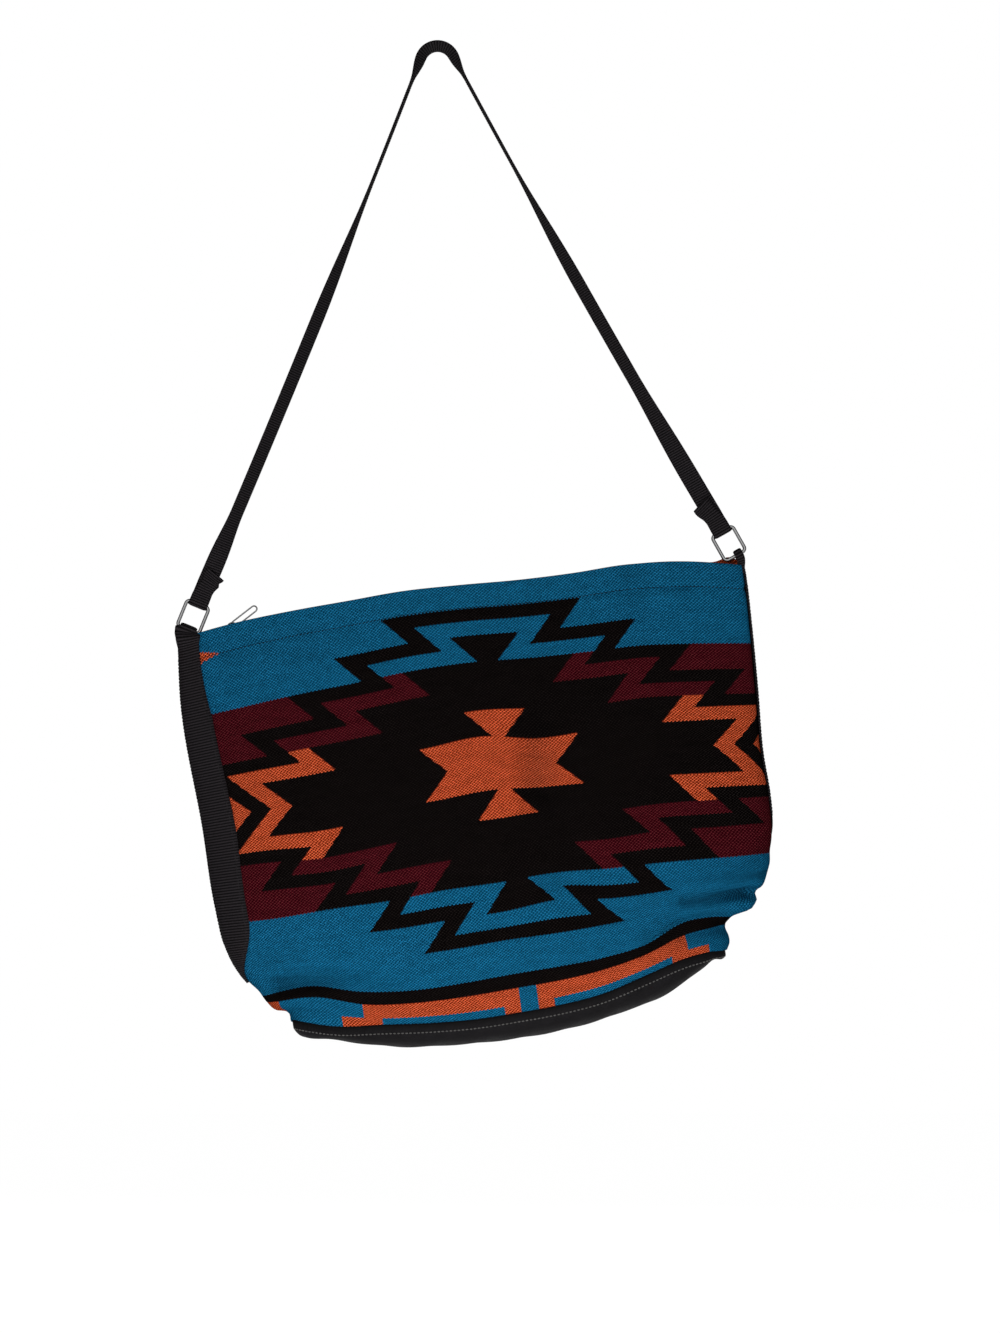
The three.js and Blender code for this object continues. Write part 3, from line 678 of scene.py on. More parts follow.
def section(side, down):  # a quarter of the row's section: length round it, share across, depth
    b = body
    share = down / clothLength
    reach = foldReach(side, down)
    halfDepth = blend(b["topHalfDepth"], b["baseHalfDepth"], max(share, 0) ** b["depthPower"])
    power = blend(*b["section"], ease(share, 0, b["sectionEnd"]))
    angle = np.linspace(0, math.pi / 2, b["sectionSteps"])
    across = np.sin(angle) ** (2 / power)
    depth = halfDepth * np.cos(angle) ** (2 / power)
    return lengthAlong(np.stack([across * reach, depth], 1)), across, depth, reach


def bodyRow(rounds, down):  # points of a row; round is the length from the front middle, over the folds
    points = np.zeros((len(rounds), 3))
    for side in (-1, 1):
        length, across, depth, reach = section(side, down)
        quarter = length[-1]
        mine = rounds * side >= 0
        far = np.abs(rounds[mine])
        place = np.where(far <= quarter, far, 2 * quarter - far)
        share = np.interp(place, length, across)
        points[mine, 0] = side * share * reach
        points[mine, 1] = np.where(far <= quarter, -1, 1) * np.interp(place, length, depth)
        points[mine, 2] = rowHeight(side * share, down)
    return points


def quarters(down):  # lengths from the front middle to the left and right folds
    return section(-1, down)[0][-1], section(1, down)[0][-1]


# Folds and puckers of the cloth: from, to (bag millimetres), half width, height at each end; the deeper
# valleys are also painted darker as shade
frontFolds = [
    ((214, -275), (158, -271), 7, (4, 1)),  # creases in the lower right corner
    ((207, -284.5), (152, -283), 4.6, (-10, -5)),
    ((176, -300), (122, -307), 9, (-2.5, -3)),
    ((204, -293), (140, -297), 5.5, (3.5, 0.6)),
    ((181, -311), (118, -316), 4.5, (-4.5, -0.6)),
    ((188, -321), (120, -334), 8, (0.8, 0.5)),
    ((-200, -309), (-126, -309), 7.5, (-8, -2.5)),  # shallow dip over the border line, left
    ((-196, -293), (-140, -294), 9, (2, 0.8)),
    ((-196, -321), (-120, -322), 6.5, (2.5, 0.8)),
    ((-196, -334), (-150, -331), 5, (-2.5, -0.8)),
    ((60, -60), (44, -260), 16, (-1.5, -2.2)),  # soft fold down through the star
    ((4, -90), (0, -280), 24, (1.2, 1.8)),
    # a dent through the star, deep enough that the star is painted darker along it as crease shade
    ((48, -114), (40, -172), 15, (-4, -5)),
    ((150, 2), (142, -50), 12, (-2.2, -0.3)),  # puckers under the top edge
    ((178, 4), (172, -40), 12, (1.6, 0.3)),
    ((-170, -22), (-110, -40), 8, (-1.4, -0.3)),
    ((-187, -15.5), (-170, -14.5), 2.6, (-2.2, -1.2)),  # slits along the hem
    ((-141, -12), (-120, -12.5), 2.6, (-2, -1)),
    ((168, -18), (190, -20.5), 2.6, (-2, -1.2)),
    ((-205, -14), (-190, -110), 9, (-1.6, -0.4)),
    ((226, -252), (165, -264), 7, (-2.2, -0.3)),
]
backFolds = [
    ((210, -290), (130, -300), 7, (-5, -0.5)),
    ((196, -306), (120, -322), 8, (3, 0.5)),
    ((-214, -300), (-130, -312), 8, (-4, -0.5)),
    ((-60, -70), (-40, -260), 18, (-1.6, -2)),
    ((90, -40), (70, -240), 22, (1.5, 1.5)),
]
hem = {
    "depth": 20,
    "roll": 1.3,
    "insideRows": 9,
    "rollRows": 7,
    "pucker": 0.8,
    "puckerPitch": 9,
    "puckerSpread": 7,
    "groove": 1.4,
    "grooveWide": 1.9,
    "stitch": (0.0032, 0.0025, 0.0011, 0.0009),  # pitch, length, width and height
    "stitchEnds": (6, 10),  # columns left plain at the two ends
}
panel = {
    "thickness": 0.0009,
    "columns": 236,
    "rowStep": 2.3,
    "seamLap": 12.5,
    "seamTurn": (262, 312),
    "backEdge": (230, 10, 6),  # the back's top edge stands up here: middle, half width, rise
    "backEdgeDeep": 40,
    "waves": [(0.5, 31, 53, 0), (0.4, 17, -41, 1.3)],  # slack in the cloth: height, run along and up, start
    "slackEnd": (6, 14),  # it is drawn flat at the seam: how far past it, and over what height
    "creaseDepth": 10,  # fold depth at which the painted crease shade is darkest
}


def foldHeight(x, z, folds):
    height = np.zeros_like(x)
    for start, end, width, (first, last) in folds:
        run = np.subtract(end, start)
        along = np.clip(((x - start[0]) * run[0] + (z - start[1]) * run[1]) / (run @ run), 0, 1)
        off = np.hypot(x - start[0] - along * run[0], z - start[1] - along * run[1])
        height += blend(first, last, along) * bell(off, 0, width)
    return height


def clothHeight(x, z, rounds, down, folds):  # how far the cloth stands out from the plain body, and its painted crease shade
    height = foldHeight(x, z, folds)
    # painted shade for the valleys, from how deep they are
    paintedCreaseShade = np.clip(-height / panel["creaseDepth"], 0, 1)
    for rise, runAlong, runUp, start in panel["waves"]:
        height += rise * np.sin(x / runAlong + z / runUp + start)
    ripple = np.sin(rounds / hem["puckerPitch"] * math.tau + 2 * np.sin(rounds / 37))  # uneven in pitch
    patch = 0.5 + 0.5 * np.sin(rounds / 61 + 0.8)  # and in height
    height += hem["pucker"] * ripple * patch * bell(down, hem["depth"], hem["puckerSpread"])
    height -= hem["groove"] * bell(down, hem["depth"], hem["grooveWide"])
    past, over = panel["slackEnd"]
    return height * ease(clothLength + past - down, 0, over), paintedCreaseShade


def seamPlace(down):  # the left side seam lies on the front, and turns behind the fold low down
    return panel["seamLap"] * (1 - 2 * ease(down, *panel["seamTurn"]))


def clothGrid(side, folds, downs, columns):  # a panel in bag millimetres, its normals, flat map and painted crease shade
    rows, flats = [], []
    for down in downs:
        left, right = quarters(down)
        rounds = np.linspace(-side * seamPlace(down) - left, right - side * panel["seamLap"], columns)
        rows.append(bodyRow(rounds, down))
        flats.append(np.stack([rounds, np.full(columns, body["topMiddle"] - down)], 1))
    grid, flat = np.array(rows), np.array(flats)
    normal = outwardNormals(grid)
    height, paintedCreaseShade = clothHeight(grid[..., 0], grid[..., 2], flat[..., 0], downs[:, None], folds)
    return grid + normal * height[..., None], normal, flat, paintedCreaseShade


def withHem(grid, normal, flat):  # turns the top edge over and inside
    roll = hem["roll"]
    rows, flats = [], []
    first, tops = grid[0], flat[0]
    inwards = unit(-normal[0] * [1, 1, 0])
    for depth in np.linspace(hem["depth"] - 1, 0, hem["insideRows"], endpoint=False):
        rows.append(first + inwards * 2 * roll - [0, 0, depth])
        flats.append(tops + [0, depth + 3 * roll])
    for turn in np.linspace(math.pi, 0, hem["rollRows"], endpoint=False):
        lift = roll * math.sin(turn)
        rows.append(first + inwards * roll * (1 - math.cos(turn)) + [0, 0, lift])
        flats.append(tops + [0, roll * turn])
    return np.concatenate([rows, grid]), np.concatenate([flats, flat])


def makePanel(name, folds, side):
    count = round(clothLength / panel["rowStep"])
    downs = np.linspace(hem["roll"], clothLength, count)
    grid, normal, flat, paintedCreaseShade = clothGrid(side, folds, downs, panel["columns"])
    if side > 0:
        grid, normal = grid * [1, -1, 1], normal * [1, -1, 1]
        flat = flat * [-1, 1]
    middle, wide, rise = panel["backEdge"]
    lift = rise * bell(grid[..., 0], middle, wide) * ease(1 - downs / panel["backEdgeDeep"])[:, None]
    grid = grid + (lift * ease(grid[..., 1], 0, 2))[..., None] * [0, 0, 1]
    grid, flat = withHem(grid, normal, flat)
    rows, columns = grid.shape[:2]
    faces = np.array(gridFaces(rows, columns))
    if side < 0:
        faces = faces[:, ::-1]
    hemRows = np.zeros((rows - len(paintedCreaseShade), columns))
    fields = {"paintedCreaseShade": np.concatenate([hemRows, paintedCreaseShade])}
    piece = newPiece(name, fromBag(grid), faces.tolist(), wovenCloth, flat * millimetre, fields, smooth=180)
    aimFaces(piece, 1, side)
    thicken(piece, panel["thickness"])
    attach(piece, "bag")
    return piece, grid


frontPanel, frontGrid = makePanel("frontCloth", frontFolds, -1)
backPanel, backGrid = makePanel("backCloth", backFolds, 1)
patches = [name for name in frame["nodes"] if name.split("_")[0] in ("teal", "maroon", "orange")]
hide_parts("front_panel", *patches)
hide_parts("back_panel")
print("cloth panels made:", len(frontPanel.data.polygons), "faces each")

# Base: a black boat-shaped panel under the seam, with a pale row of topstitching
base = {
    "thickness": 0.0012,
    "columns": 150,
    "rows": 46,
    "endShare": 0.99,
    "closeFrom": 0.955,  # share of the way to an end from which the base closes
    "rimLap": 2.2,
    "stand": 0.7,
    "leastSag": 1.5,
    "wave": 0.35,
    "stitchBelow": 5.2,
    "stitch": (0.0034, 0.0025, 0.0021, 0.0012),  # pitch, length, width and height
    "stitchRows": 30,  # rows from the rim that the stitches may reach
    "stitchEnds": 6,  # columns left plain at each end
    # lowest line of the base, along and up
    "low": [
        (-196, -346), (-190, -352), (-181, -356.4), (-162, -360.6), (-136.6, -367.4), (-102.6, -375),
        (-57.5, -379.3), (-11.6, -381), (33.4, -379.3), (67.4, -375), (95.5, -369.1), (118.4, -364),
        (141.4, -353.8), (160.9, -342.8), (171, -337), (177, -338.6), (186, -338.6),
    ],
}


def baseColumn(across, steps):  # a line over the base from the front seam to the back, in bag millimetres
    side = -1 if across < 0 else 1
    shares, depths, reach = section(side, clothLength)[1:]
    half = np.interp(abs(across), shares, depths) + base["stand"]
    seam = rowHeight(np.array([across]), clothLength)[0]
    sag = max(seam - flow(*zip(*base["low"]), np.array([across * reach]))[0], base["leastSag"])
    closed = np.clip((abs(across) - base["closeFrom"]) / (1 - base["closeFrom"]), 0, 1)
    sag = sag * math.sqrt(1 - closed**2 * 0.95)
    angle = np.linspace(-math.pi / 2, math.pi / 2, steps)
    back = half * np.sign(angle) * np.abs(np.sin(angle)) ** 0.75
    drop = sag * np.cos(angle).clip(0, 1) ** 0.62
    drop = drop + base["wave"] * np.sin(across * 31 + back / 9) * np.cos(angle)
    line = np.stack([np.full(steps, across * reach), back, seam - drop], 1)
    lip = line[[0, -1]] + [0, 0, base["rimLap"]]
    return np.concatenate([lip[:1], line, lip[1:]])


def makeBase():
    shares = base["endShare"] * np.sin(np.linspace(-1, 1, base["columns"]) * math.pi / 2)
    grid = np.array([baseColumn(share, base["rows"]) for share in shares])
    flat = np.stack(np.broadcast_arrays(grid[:, :1, 0], grid[:, :, 1]), -1)
    faces = gridFaces(*grid.shape[:2])
    fromSeam = [np.minimum(lengthAlong(line), lengthAlong(line[::-1])[::-1]) for line in grid]
    # painted shade along the seam: full at the lip, gone by the stitches
    rim = 1 - ease((np.array(fromSeam) - base["rimLap"]) / base["stitchBelow"])
    fields = {"rim": rim}
    piece = newPiece("baseCloth", fromBag(grid), faces, baseCloth, flat * millimetre, fields, smooth=180)
    aimFaces(piece, 2, -1)
    thicken(piece, base["thickness"])
    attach(piece, "bag")
    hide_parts("base_panel")
    lines = []
    ends = base["stitchEnds"]
    for flip in (1, -1):
        line = []
        for column in grid[ends:-ends, ::flip]:
            fromRim = column[1 : base["stitchRows"]]
            down = lengthAlong(fromRim)
            line.append([np.interp(base["stitchBelow"], down, values) for values in fromRim.T])
        lines.append(fromBag(np.array(line) + [0, -0.4 * flip, -0.2]))  # a little proud of the cloth
    stitches = beadRow("baseTopstitch", lines, paleThread, *base["stitch"])
    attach(stitches, "bag")


makeBase()
print("base sewn on")

# Webbing: a woven tape with cross ribs, built on a grid of points down its middle
webbing = {
    "thickness": 1.6,
    "edgeThin": 0.45,  # how much thinner its edges are
    "ribPitch": 2.35,
    "ribHeight": 0.32,
    "ribSteps": 6,
    "ribEnd": 0.8,  # how much lower the ribs are at the edges
    "columns": 9,
}


def refine(guide, step):  # rows of a guide grid, resampled evenly
    length = lengthAlong(guide[:, guide.shape[1] // 2])
    return flow(length, guide, np.arange(0, length[-1], step))


def webbingBand(name, guide, pitch=webbing["ribPitch"], height=webbing["ribHeight"]):  # guide in metres
    grid = refine(guide, pitch / webbing["ribSteps"] * millimetre)
    rows, columns = grid.shape[:2]
    share = np.linspace(-1, 1, columns)
    bothFaces = np.concatenate([share, share[::-1]])
    half = webbing["thickness"] / 2 * millimetre * (1 - webbing["edgeThin"] * share**6)
    lift = gridNormals(grid) * half[None, :, None]
    shell = np.concatenate([grid + lift, (grid - lift)[:, ::-1]], 1)
    faces = gridFaces(rows, 2 * columns, loopColumns=True) + endFaces(rows, 2 * columns)
    along = np.repeat(lengthAlong(grid[:, columns // 2]), 2 * columns)
    wide = np.linalg.norm(grid[:, -1] - grid[:, 0], axis=1)[:, None] / 2
    uv = np.stack([(wide * bothFaces).ravel(), along / pitch], 1)
    fields = {"along": along, "flatness": np.tile(1 - webbing["ribEnd"] * bothFaces**8, rows)}
    piece = newPiece(name, shell, faces, blackWebbing, uv=uv, fields=fields, smooth=180)
    sizes = {"Pitch": pitch * millimetre, "Height": height * millimetre}
    return throughTree(piece, ribTree, blackWebbing, **sizes), grid


# Rings and strap: two wire rings carry a strap that turns on edge at the hang point
ring = {"span": 470, "wire": 3, "inside": 17, "pitch": 24, "corner": 3.4}
strap = {
    "width": 16,
    "atRing": 16.4,
    "bendRadius": 14.2,
    "sag": 2.3,  # middle of a leg, in towards the other leg
    # how far it faces the front, in degrees: at the rings, over most of a leg, near the bend and over it
    "turns": (90, 37, 4, 30),
    # shares of a leg: where it has left the flat, where it starts to turn on edge and has, where it tips out
    "flatEnd": {-1: 0.14, 1: 0.3},
    "edge": (0.5, 0.78),
    "flareFrom": 0.95,
    "tail": 29,
    "tailSkew": 4.5,
    "tailTilt": 0.3,
    "tailSpread": 0.8,  # how much wider the loose corner is
    "tailLift": 1.6,
    "pinch": (1.6, 0.55, 0.2),  # drawn in by the seam: how much, and where on the tail and over what share
    "notch": {-1: 2, 1: 0},
    "notchAt": (0.84, 0.08),
    "settle": 17,  # length over which it comes off the bar and lies flat
    "wave": 0.8,
    "loopPlay": 0.35,
    "ribPitch": 2.1,
    "ribHeight": 0.26,
}


def strapLeg(side):  # from a ring's lower bar to where the strap meets its bend, in millimetres
    foot = fromBag([side * ring["span"] / 2, 0, 0]) / millimetre
    radius = strap["bendRadius"] + webbing["thickness"] / 2
    toCentre = np.array([0, 0, -strap["bendRadius"]]) - foot
    far = np.linalg.norm(toCentre)
    lean = math.atan2(toCentre[0], toCentre[2]) + side * math.asin(radius / far)
    along = np.array([math.sin(lean), 0, math.cos(lean)])
    level = np.array([math.cos(lean), 0, -math.sin(lean)])
    length = math.sqrt(far**2 - radius**2)
    return {"side": side, "foot": foot, "lean": lean, "along": along, "level": level, "length": length}


legs = {side: strapLeg(side) for side in (-1, 1)}


def strapTurn(side, share):  # how far the strap faces the front, in radians
    flat, low, edge, bend = [math.radians(turn) for turn in strap["turns"]]
    turn = blend(flat, low, ease(share, 0, strap["flatEnd"][side]))
    turn = blend(turn, edge, ease(share, *strap["edge"]))
    return blend(turn, bend, ease(share, strap["flareFrom"], 1))


def legStations(leg):  # tail in front, round the ring's upper bar, then up the leg: centre, wide, width
    bar = ring["pitch"]
    radius = ring["wire"] / 2 + strap["loopPlay"] + webbing["thickness"] / 2
    side, inner = leg["side"], -leg["side"]
    flatOn = math.pi / 2
    stations = []

    def station(far, back, sideways, twist, width, tilt=0):
        centre = leg["foot"] + leg["along"] * far + leg["level"] * sideways + backwards * back
        flatWide = leg["level"] * math.cos(tilt) + leg["along"] * math.sin(tilt)
        stations.append((centre, flatWide * math.sin(twist) + backwards * math.cos(twist), width))

    pinch, *pinchAt = strap["pinch"]
    for share in np.linspace(1, 0, 19, endpoint=False):
        skew = ease(share, 0.25, 1)
        onLeg = -webbing["thickness"] - 0.15  # lying on the leg behind it
        back = blend(-radius, onLeg, ease(share, 0, 0.35)) - strap["tailLift"] * ease(share, 0.8, 1)
        sideways = inner * (strap["tailSkew"] * skew - strap["notch"][side] * bell(share, *strap["notchAt"]))
        width = strap["atRing"] - pinch * bell(share, *pinchAt) + strap["tailSpread"] * skew
        station(bar + share * strap["tail"], back, sideways, flatOn, width, -inner * strap["tailTilt"] * skew)
    for turn in np.linspace(0, math.pi, 9):
        station(bar - radius * math.sin(turn), -radius * math.cos(turn), 0, flatOn, strap["atRing"])
    for share in np.linspace(0, 1, 9)[1:]:
        width = blend(strap["atRing"], strap["width"], ease(share))
        station(bar + share * strap["settle"], radius * (1 - ease(share)), 0, flatOn, width)
    for share in np.linspace(0, 1, 80)[1:]:
        far = blend(bar + strap["settle"], leg["length"], share)
        wave = strap["wave"] * math.sin(share * 9 + side) * (1 - share)
        sag = inner * strap["sag"] * 4 * share * (1 - share)
        station(far, wave, sag, strapTurn(side, share), strap["width"])
    return stations


def makeStrap():
    left, right = legStations(legs[-1]), legStations(legs[1])
    radius = strap["bendRadius"] + webbing["thickness"] / 2
    tip = math.radians(strap["turns"][-1])
    bend = []
    for lean in np.linspace(legs[-1]["lean"], legs[1]["lean"] + math.pi, 16)[1:-1]:
        centre = np.array([-radius * math.cos(lean), 0, radius * math.sin(lean) - strap["bendRadius"]])
        level = np.array([math.cos(lean), 0, -math.sin(lean)])
        bend.append((centre, level * math.sin(tip) + backwards * math.cos(tip), strap["width"]))
    mirrored = [(centre, wide * [-1, 1, -1], width) for centre, wide, width in right[::-1]]
    share = np.linspace(-0.5, 0.5, webbing["columns"])[:, None]
    stations = left + bend + mirrored
    guide = np.array([centre + share * wide * width for centre, wide, width in stations]) * millimetre
    piece, grid = webbingBand("shoulderStrap", guide, strap["ribPitch"], strap["ribHeight"])
    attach(piece, "strap")
    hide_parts("strap")
    length = float(lengthAlong(grid[:, webbing["columns"] // 2])[-1])
    return length


def wireLoop(width, height, corner, wire, cornerSteps=12, sides=18):  # rounded rectangle, foot at z = 0
    path, outward = [], []
    x, z = width / 2 - corner, height - corner
    for turn, (cx, cz) in enumerate([(x, corner), (x, z), (-x, z), (-x, corner)]):
        for angle in (turn - 1 + np.linspace(0, 1, cornerSteps)) * math.pi / 2:
            outward.append([math.cos(angle), 0, math.sin(angle)])
            path.append([cx + corner * math.cos(angle), 0, cz + corner * math.sin(angle)])
    path, outward = np.array(path)[:, None], np.array(outward)[:, None]
    turn = np.linspace(0, math.tau, sides, endpoint=False)[None, :, None]
    across = outward * np.cos(turn) + backwards * np.sin(turn)
    return path + across * wire / 2, gridFaces(len(path), sides, True, True)


def makeRing(name, node, leg):
    points, faces = wireLoop(ring["inside"] + ring["wire"], ring["pitch"], ring["corner"], ring["wire"])
    placed = leg["foot"] + alongAxes(points, leg["level"], leg["along"])
    piece = newPiece(name, placed * millimetre, faces, polishedSteel, smooth=180)
    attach(piece, "strap")
    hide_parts(node)


strapLength = makeStrap()
makeRing("leftRing", "left_ring", legs[-1])
makeRing("rightRing", "right_ring", legs[1])
print("strap of", round(strapLength, 3), "m and its rings hung")

# Side webbing: sewn over the side seams, gathered at the top and looped over the lower bar of its ring
sideBand = {
    # down the cloth, width
    "width": [(0, 19), (25, 21.5), (40, 24), (70, 29.5), (110, 31.5), (180, 34), (290, 34), (380, 32)],
    "stand": 1.35,
    "turn": (256, 344),  # where the left band turns round the fold
    "turnBy": 1.12,  # in widths
    "leftEnd": 318,  # behind the fold
    "crumple": (0.9, 22),  # of the gathered top: height, and how far down it fades
    "stitch": (0.003, 0.0023, 0.0007, 0.0007),  # pitch, length, width and height
    "stitchAt": (0.12, 0.9),  # shares of the width
    "stitchStand": 0.85,
    "showing": [(0, 3), (225, 3), (258, -12), (380, -16)],  # right band on the front, down the cloth
    "loop": {-1: (14.5, 21, 0), 1: (7, 7, 3)},  # width round the bar, width below it, shift outwards
    "loopRise": 0.8,
    "loopPlay": 2.3,
    "overEdge": {-1: 3, 1: 0},  # how far the band comes forward to pass over the top edge
}


def bandRow(side, down):  # points across the band on the body, from the fold inwards
    width = np.interp(down, *zip(*sideBand["width"]))
    left, right = quarters(down)
    inwards = np.linspace(0, 1, webbing["columns"]) * width
    if side < 0:
        return bodyRow(inwards - ease(down, *sideBand["turn"]) * sideBand["turnBy"] * width - left, down)
    return bodyRow(right + inwards - np.interp(down, *zip(*sideBand["showing"])), down)


def loopGuide(side):  # the gathered end: up inside, over the ring's lower bar and down outside
    turn = legs[side]["lean"] + hangTilt
    barAlong = np.array([math.cos(turn), 0, -math.sin(turn)])
    barUp = np.array([math.sin(turn), 0, math.cos(turn)])
    tight, loose, outwards = sideBand["loop"][side]
    barMiddle = np.array([side * ring["span"] / 2, 0, 0]) + barAlong * side * outwards
    share = np.linspace(-0.5, 0.5, webbing["columns"])[:, None] * -side  # from the outer edge inwards
    radius = ring["wire"] / 2 + sideBand["loopRise"] + webbing["thickness"] / 2
    play = sideBand["loopPlay"]

    def loopRow(out, up, width, hang=0):  # hang turns the row from the ring's lean to the bag's
        along = unit(blend(barAlong, np.array([1, 0, 0]), hang))
        rise = unit(blend(barUp, np.array([0, 0, 1]), hang))
        return barMiddle + share * width * along + rise * up + backwards * side * out

    guide = [loopRow(-1.6, -17, tight, 1), loopRow(-1.6, -12, tight, 1), loopRow(-2, -8, tight, 0.7)]
    guide.append(loopRow(-play - radius * 0.8, -3, tight, 0.2))
    for angle in np.linspace(0, math.pi, 13):
        middle = -play if angle < math.pi / 2 else play
        width = blend(tight, loose, ease(angle / math.pi, 0.8, 1))  # clear of the ring's sides
        guide.append(loopRow(middle - radius * math.cos(angle), radius * math.sin(angle), width))
    guide.append(loopRow(play + radius, -2, loose, 0.4))
    guide.append(loopRow(play + radius + sideBand["overEdge"][side], -6, loose, 0.9))
    return guide


def makeSideBand(name, node, side):  # the left band lies on the front, the right one on the back
    columns = webbing["columns"]
    low = sideBand["leftEnd"] if side < 0 else clothLength - 1
    downs = np.concatenate([[10], np.arange(14, low, 4)])
    plain = np.array([bandRow(side, down) for down in downs])
    normal = outwardNormals(plain)
    folds = frontFolds if side < 0 else backFolds
    height = foldHeight(plain[..., 0], plain[..., 2], folds) + sideBand["stand"]
    rise, fade = sideBand["crumple"]
    height = height + rise * np.exp(-downs / fade)[:, None] * np.sin(np.linspace(0, 7, columns) + 1)
    lying = plain + normal * height[..., None]
    piece, grid = webbingBand(name, fromBag(np.concatenate([loopGuide(side), lying])))
    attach(piece, "bag")
    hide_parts(node)
    length = float(lengthAlong(grid[:, columns // 2])[-1])
    lines = []
    for place in sideBand["stitchAt"]:
        near, share = divmod(place * (columns - 1), 1)
        near = int(near)
        path = blend(lying[2:-2, near], lying[2:-2, near + 1], share)
        lines.append(fromBag(path + normal[2:-2, near] * sideBand["stitchStand"]))
    stitches = beadRow(name + "Stitches", lines, darkThread, *sideBand["stitch"])
    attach(stitches, "bag")
    return length


leftBandLength = makeSideBand("leftSideWebbing", "left_side_webbing", -1)
rightBandLength = makeSideBand("rightSideWebbing", "right_side_webbing", 1)
print("side webbing sewn on:", round(leftBandLength, 3), "m and", round(rightBandLength, 3), "m")


# Hem stitching: one dark row along each top edge
def hemLine(grid, side):
    row = hem["insideRows"] + hem["rollRows"] + round((hem["depth"] - hem["roll"]) / panel["rowStep"])
    first, last = hem["stitchEnds"]
    return fromBag(grid[row, first:-last] + [0, 0.15 * side, 0])


hemLines = [hemLine(frontGrid, -1), hemLine(backGrid, 1)]
hemStitches = beadRow("hemStitches", hemLines, hemThread, *hem["stitch"])
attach(hemStitches, "bag")
print("hems stitched")

# Zip: two tapes under the hems, nylon teeth, stops, a slider with its bail and a wire pull
zipper = {
    "left": 206,  # ends of the tapes, from the middle of the bag
    "right": 186,
    "depth": 8,
    "slot": 0.9,
    "tape": 0.8,
    "tapeSag": 0.5,
    "tapePoints": (120, 9),  # along and across
    "toothPitch": 1.45,
    "tooth": (0.85, 3.6, 2.1),  # along the zip, across it and high
    "toothLap": 0.55,
    "stopLength": 3,
    "stopWide": 6.4,
    "stopRounding": 0.55,
    "coilHigh": 2,
    "clearance": 0.3,
}
coilMiddle = zipper["clearance"] - zipper["depth"] + zipper["coilHigh"] / 2


def tapeEdge(x):  # inside of the hem where the tape is sewn
    side = -1 if x < 0 else 1
    across, depth, reach = section(side, zipper["depth"] + body["topMiddle"])[1:]
    return np.interp(abs(x) / reach, across, depth) - 2 * hem["roll"] - zipper["clearance"]


def makeTape(name, node, side):
    rows, half = zipper["tapePoints"]
    xs = np.linspace(-zipper["left"], zipper["right"], rows)[:, None]
    outer = np.array([tapeEdge(x) for x in xs])
    shares = np.linspace(0, 1, half)
    bothFaces = np.concatenate([shares, shares[::-1]])
    sag = zipper["tapeSag"] * np.sin(bothFaces * math.pi) + zipper["tape"] * (np.arange(2 * half) >= half)
    across = side * blend(zipper["slot"], outer, bothFaces)
    grid = np.stack(np.broadcast_arrays(xs, across, -zipper["depth"] - sag), -1)
    faces = gridFaces(rows, 2 * half, loopColumns=True) + endFaces(rows, 2 * half)
    uv = grid[..., [1, 0]] * millimetre
    piece = newPiece(name, fromBag(grid), faces, zipTapeCloth, uv, smooth=50)
    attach(piece, "bag")
    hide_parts(node)


def makeTeeth(name, node, side):
    inset = zipper["stopLength"] + zipper["clearance"] + 0.5
    start = -zipper["left"] + inset + (zipper["toothPitch"] / 2 if side > 0 else 0)  # the two rows mesh
    away = side * (zipper["tooth"][1] / 2 - zipper["toothLap"])
    line = fromBag([[start, away, coilMiddle], [zipper["right"] - inset, away, coilMiddle]])
    sizes = [size * millimetre for size in (zipper["toothPitch"], *zipper["tooth"])]
    piece = beadRow(name, [line], zipNylon, *sizes)
    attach(piece, "bag")
    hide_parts(node)


def softBlock(sizes, place, rounding, taper=0):  # a block with rounded edges, in bag millimetres
    work = bmesh.new()
    bmesh.ops.create_cube(work, size=1)
    for vertex in work.verts:
        squeeze = 1 - taper * (vertex.co.x + 0.5)
        vertex.co.x *= sizes[0]
        vertex.co.y *= sizes[1] * squeeze
        vertex.co.z *= sizes[2]
    bmesh.ops.bevel(work, geom=work.edges[:], offset=rounding, segments=3, profile=0.5, affect="EDGES")
    points = np.array([vertex.co for vertex in work.verts]) + place
    faces = [[vertex.index for vertex in face.verts] for face in work.faces]
    work.free()
    return points, faces


def steelPiece(name, parts, smooth=40):
    points, faces, first = [], [], 0
    for part, own in parts:
        part = np.asarray(part).reshape(-1, 3)
        points.append(part)
        faces += [[first + k for k in face] for face in own]
        first += len(part)
    return newPiece(name, fromBag(np.concatenate(points)), faces, polishedSteel, smooth=smooth)


def makeStop(name, node, x):
    sizes = (zipper["stopLength"], zipper["stopWide"], zipper["coilHigh"])
    piece = steelPiece(name, [softBlock(sizes, (x, 0, coilMiddle), zipper["stopRounding"])])
    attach(piece, "bag")
    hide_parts(node)


for name, node, side in (("zipTapeFront", "zip_tape_front", -1), ("zipTapeBack", "zip_tape_back", 1)):
    makeTape(name, node, side)
for name, node, side in (("zipTeethFront", "zip_coil_front", -1), ("zipTeethBack", "zip_coil_back", 1)):
    makeTeeth(name, node, side)
makeStop("zipStopClosed", "zip_stop_closed", zipper["stopLength"] / 2 - zipper["left"])
makeStop("zipStopOpen", "zip_stop_open", zipper["right"] - zipper["stopLength"] / 2)
print("zip laid between the hems")

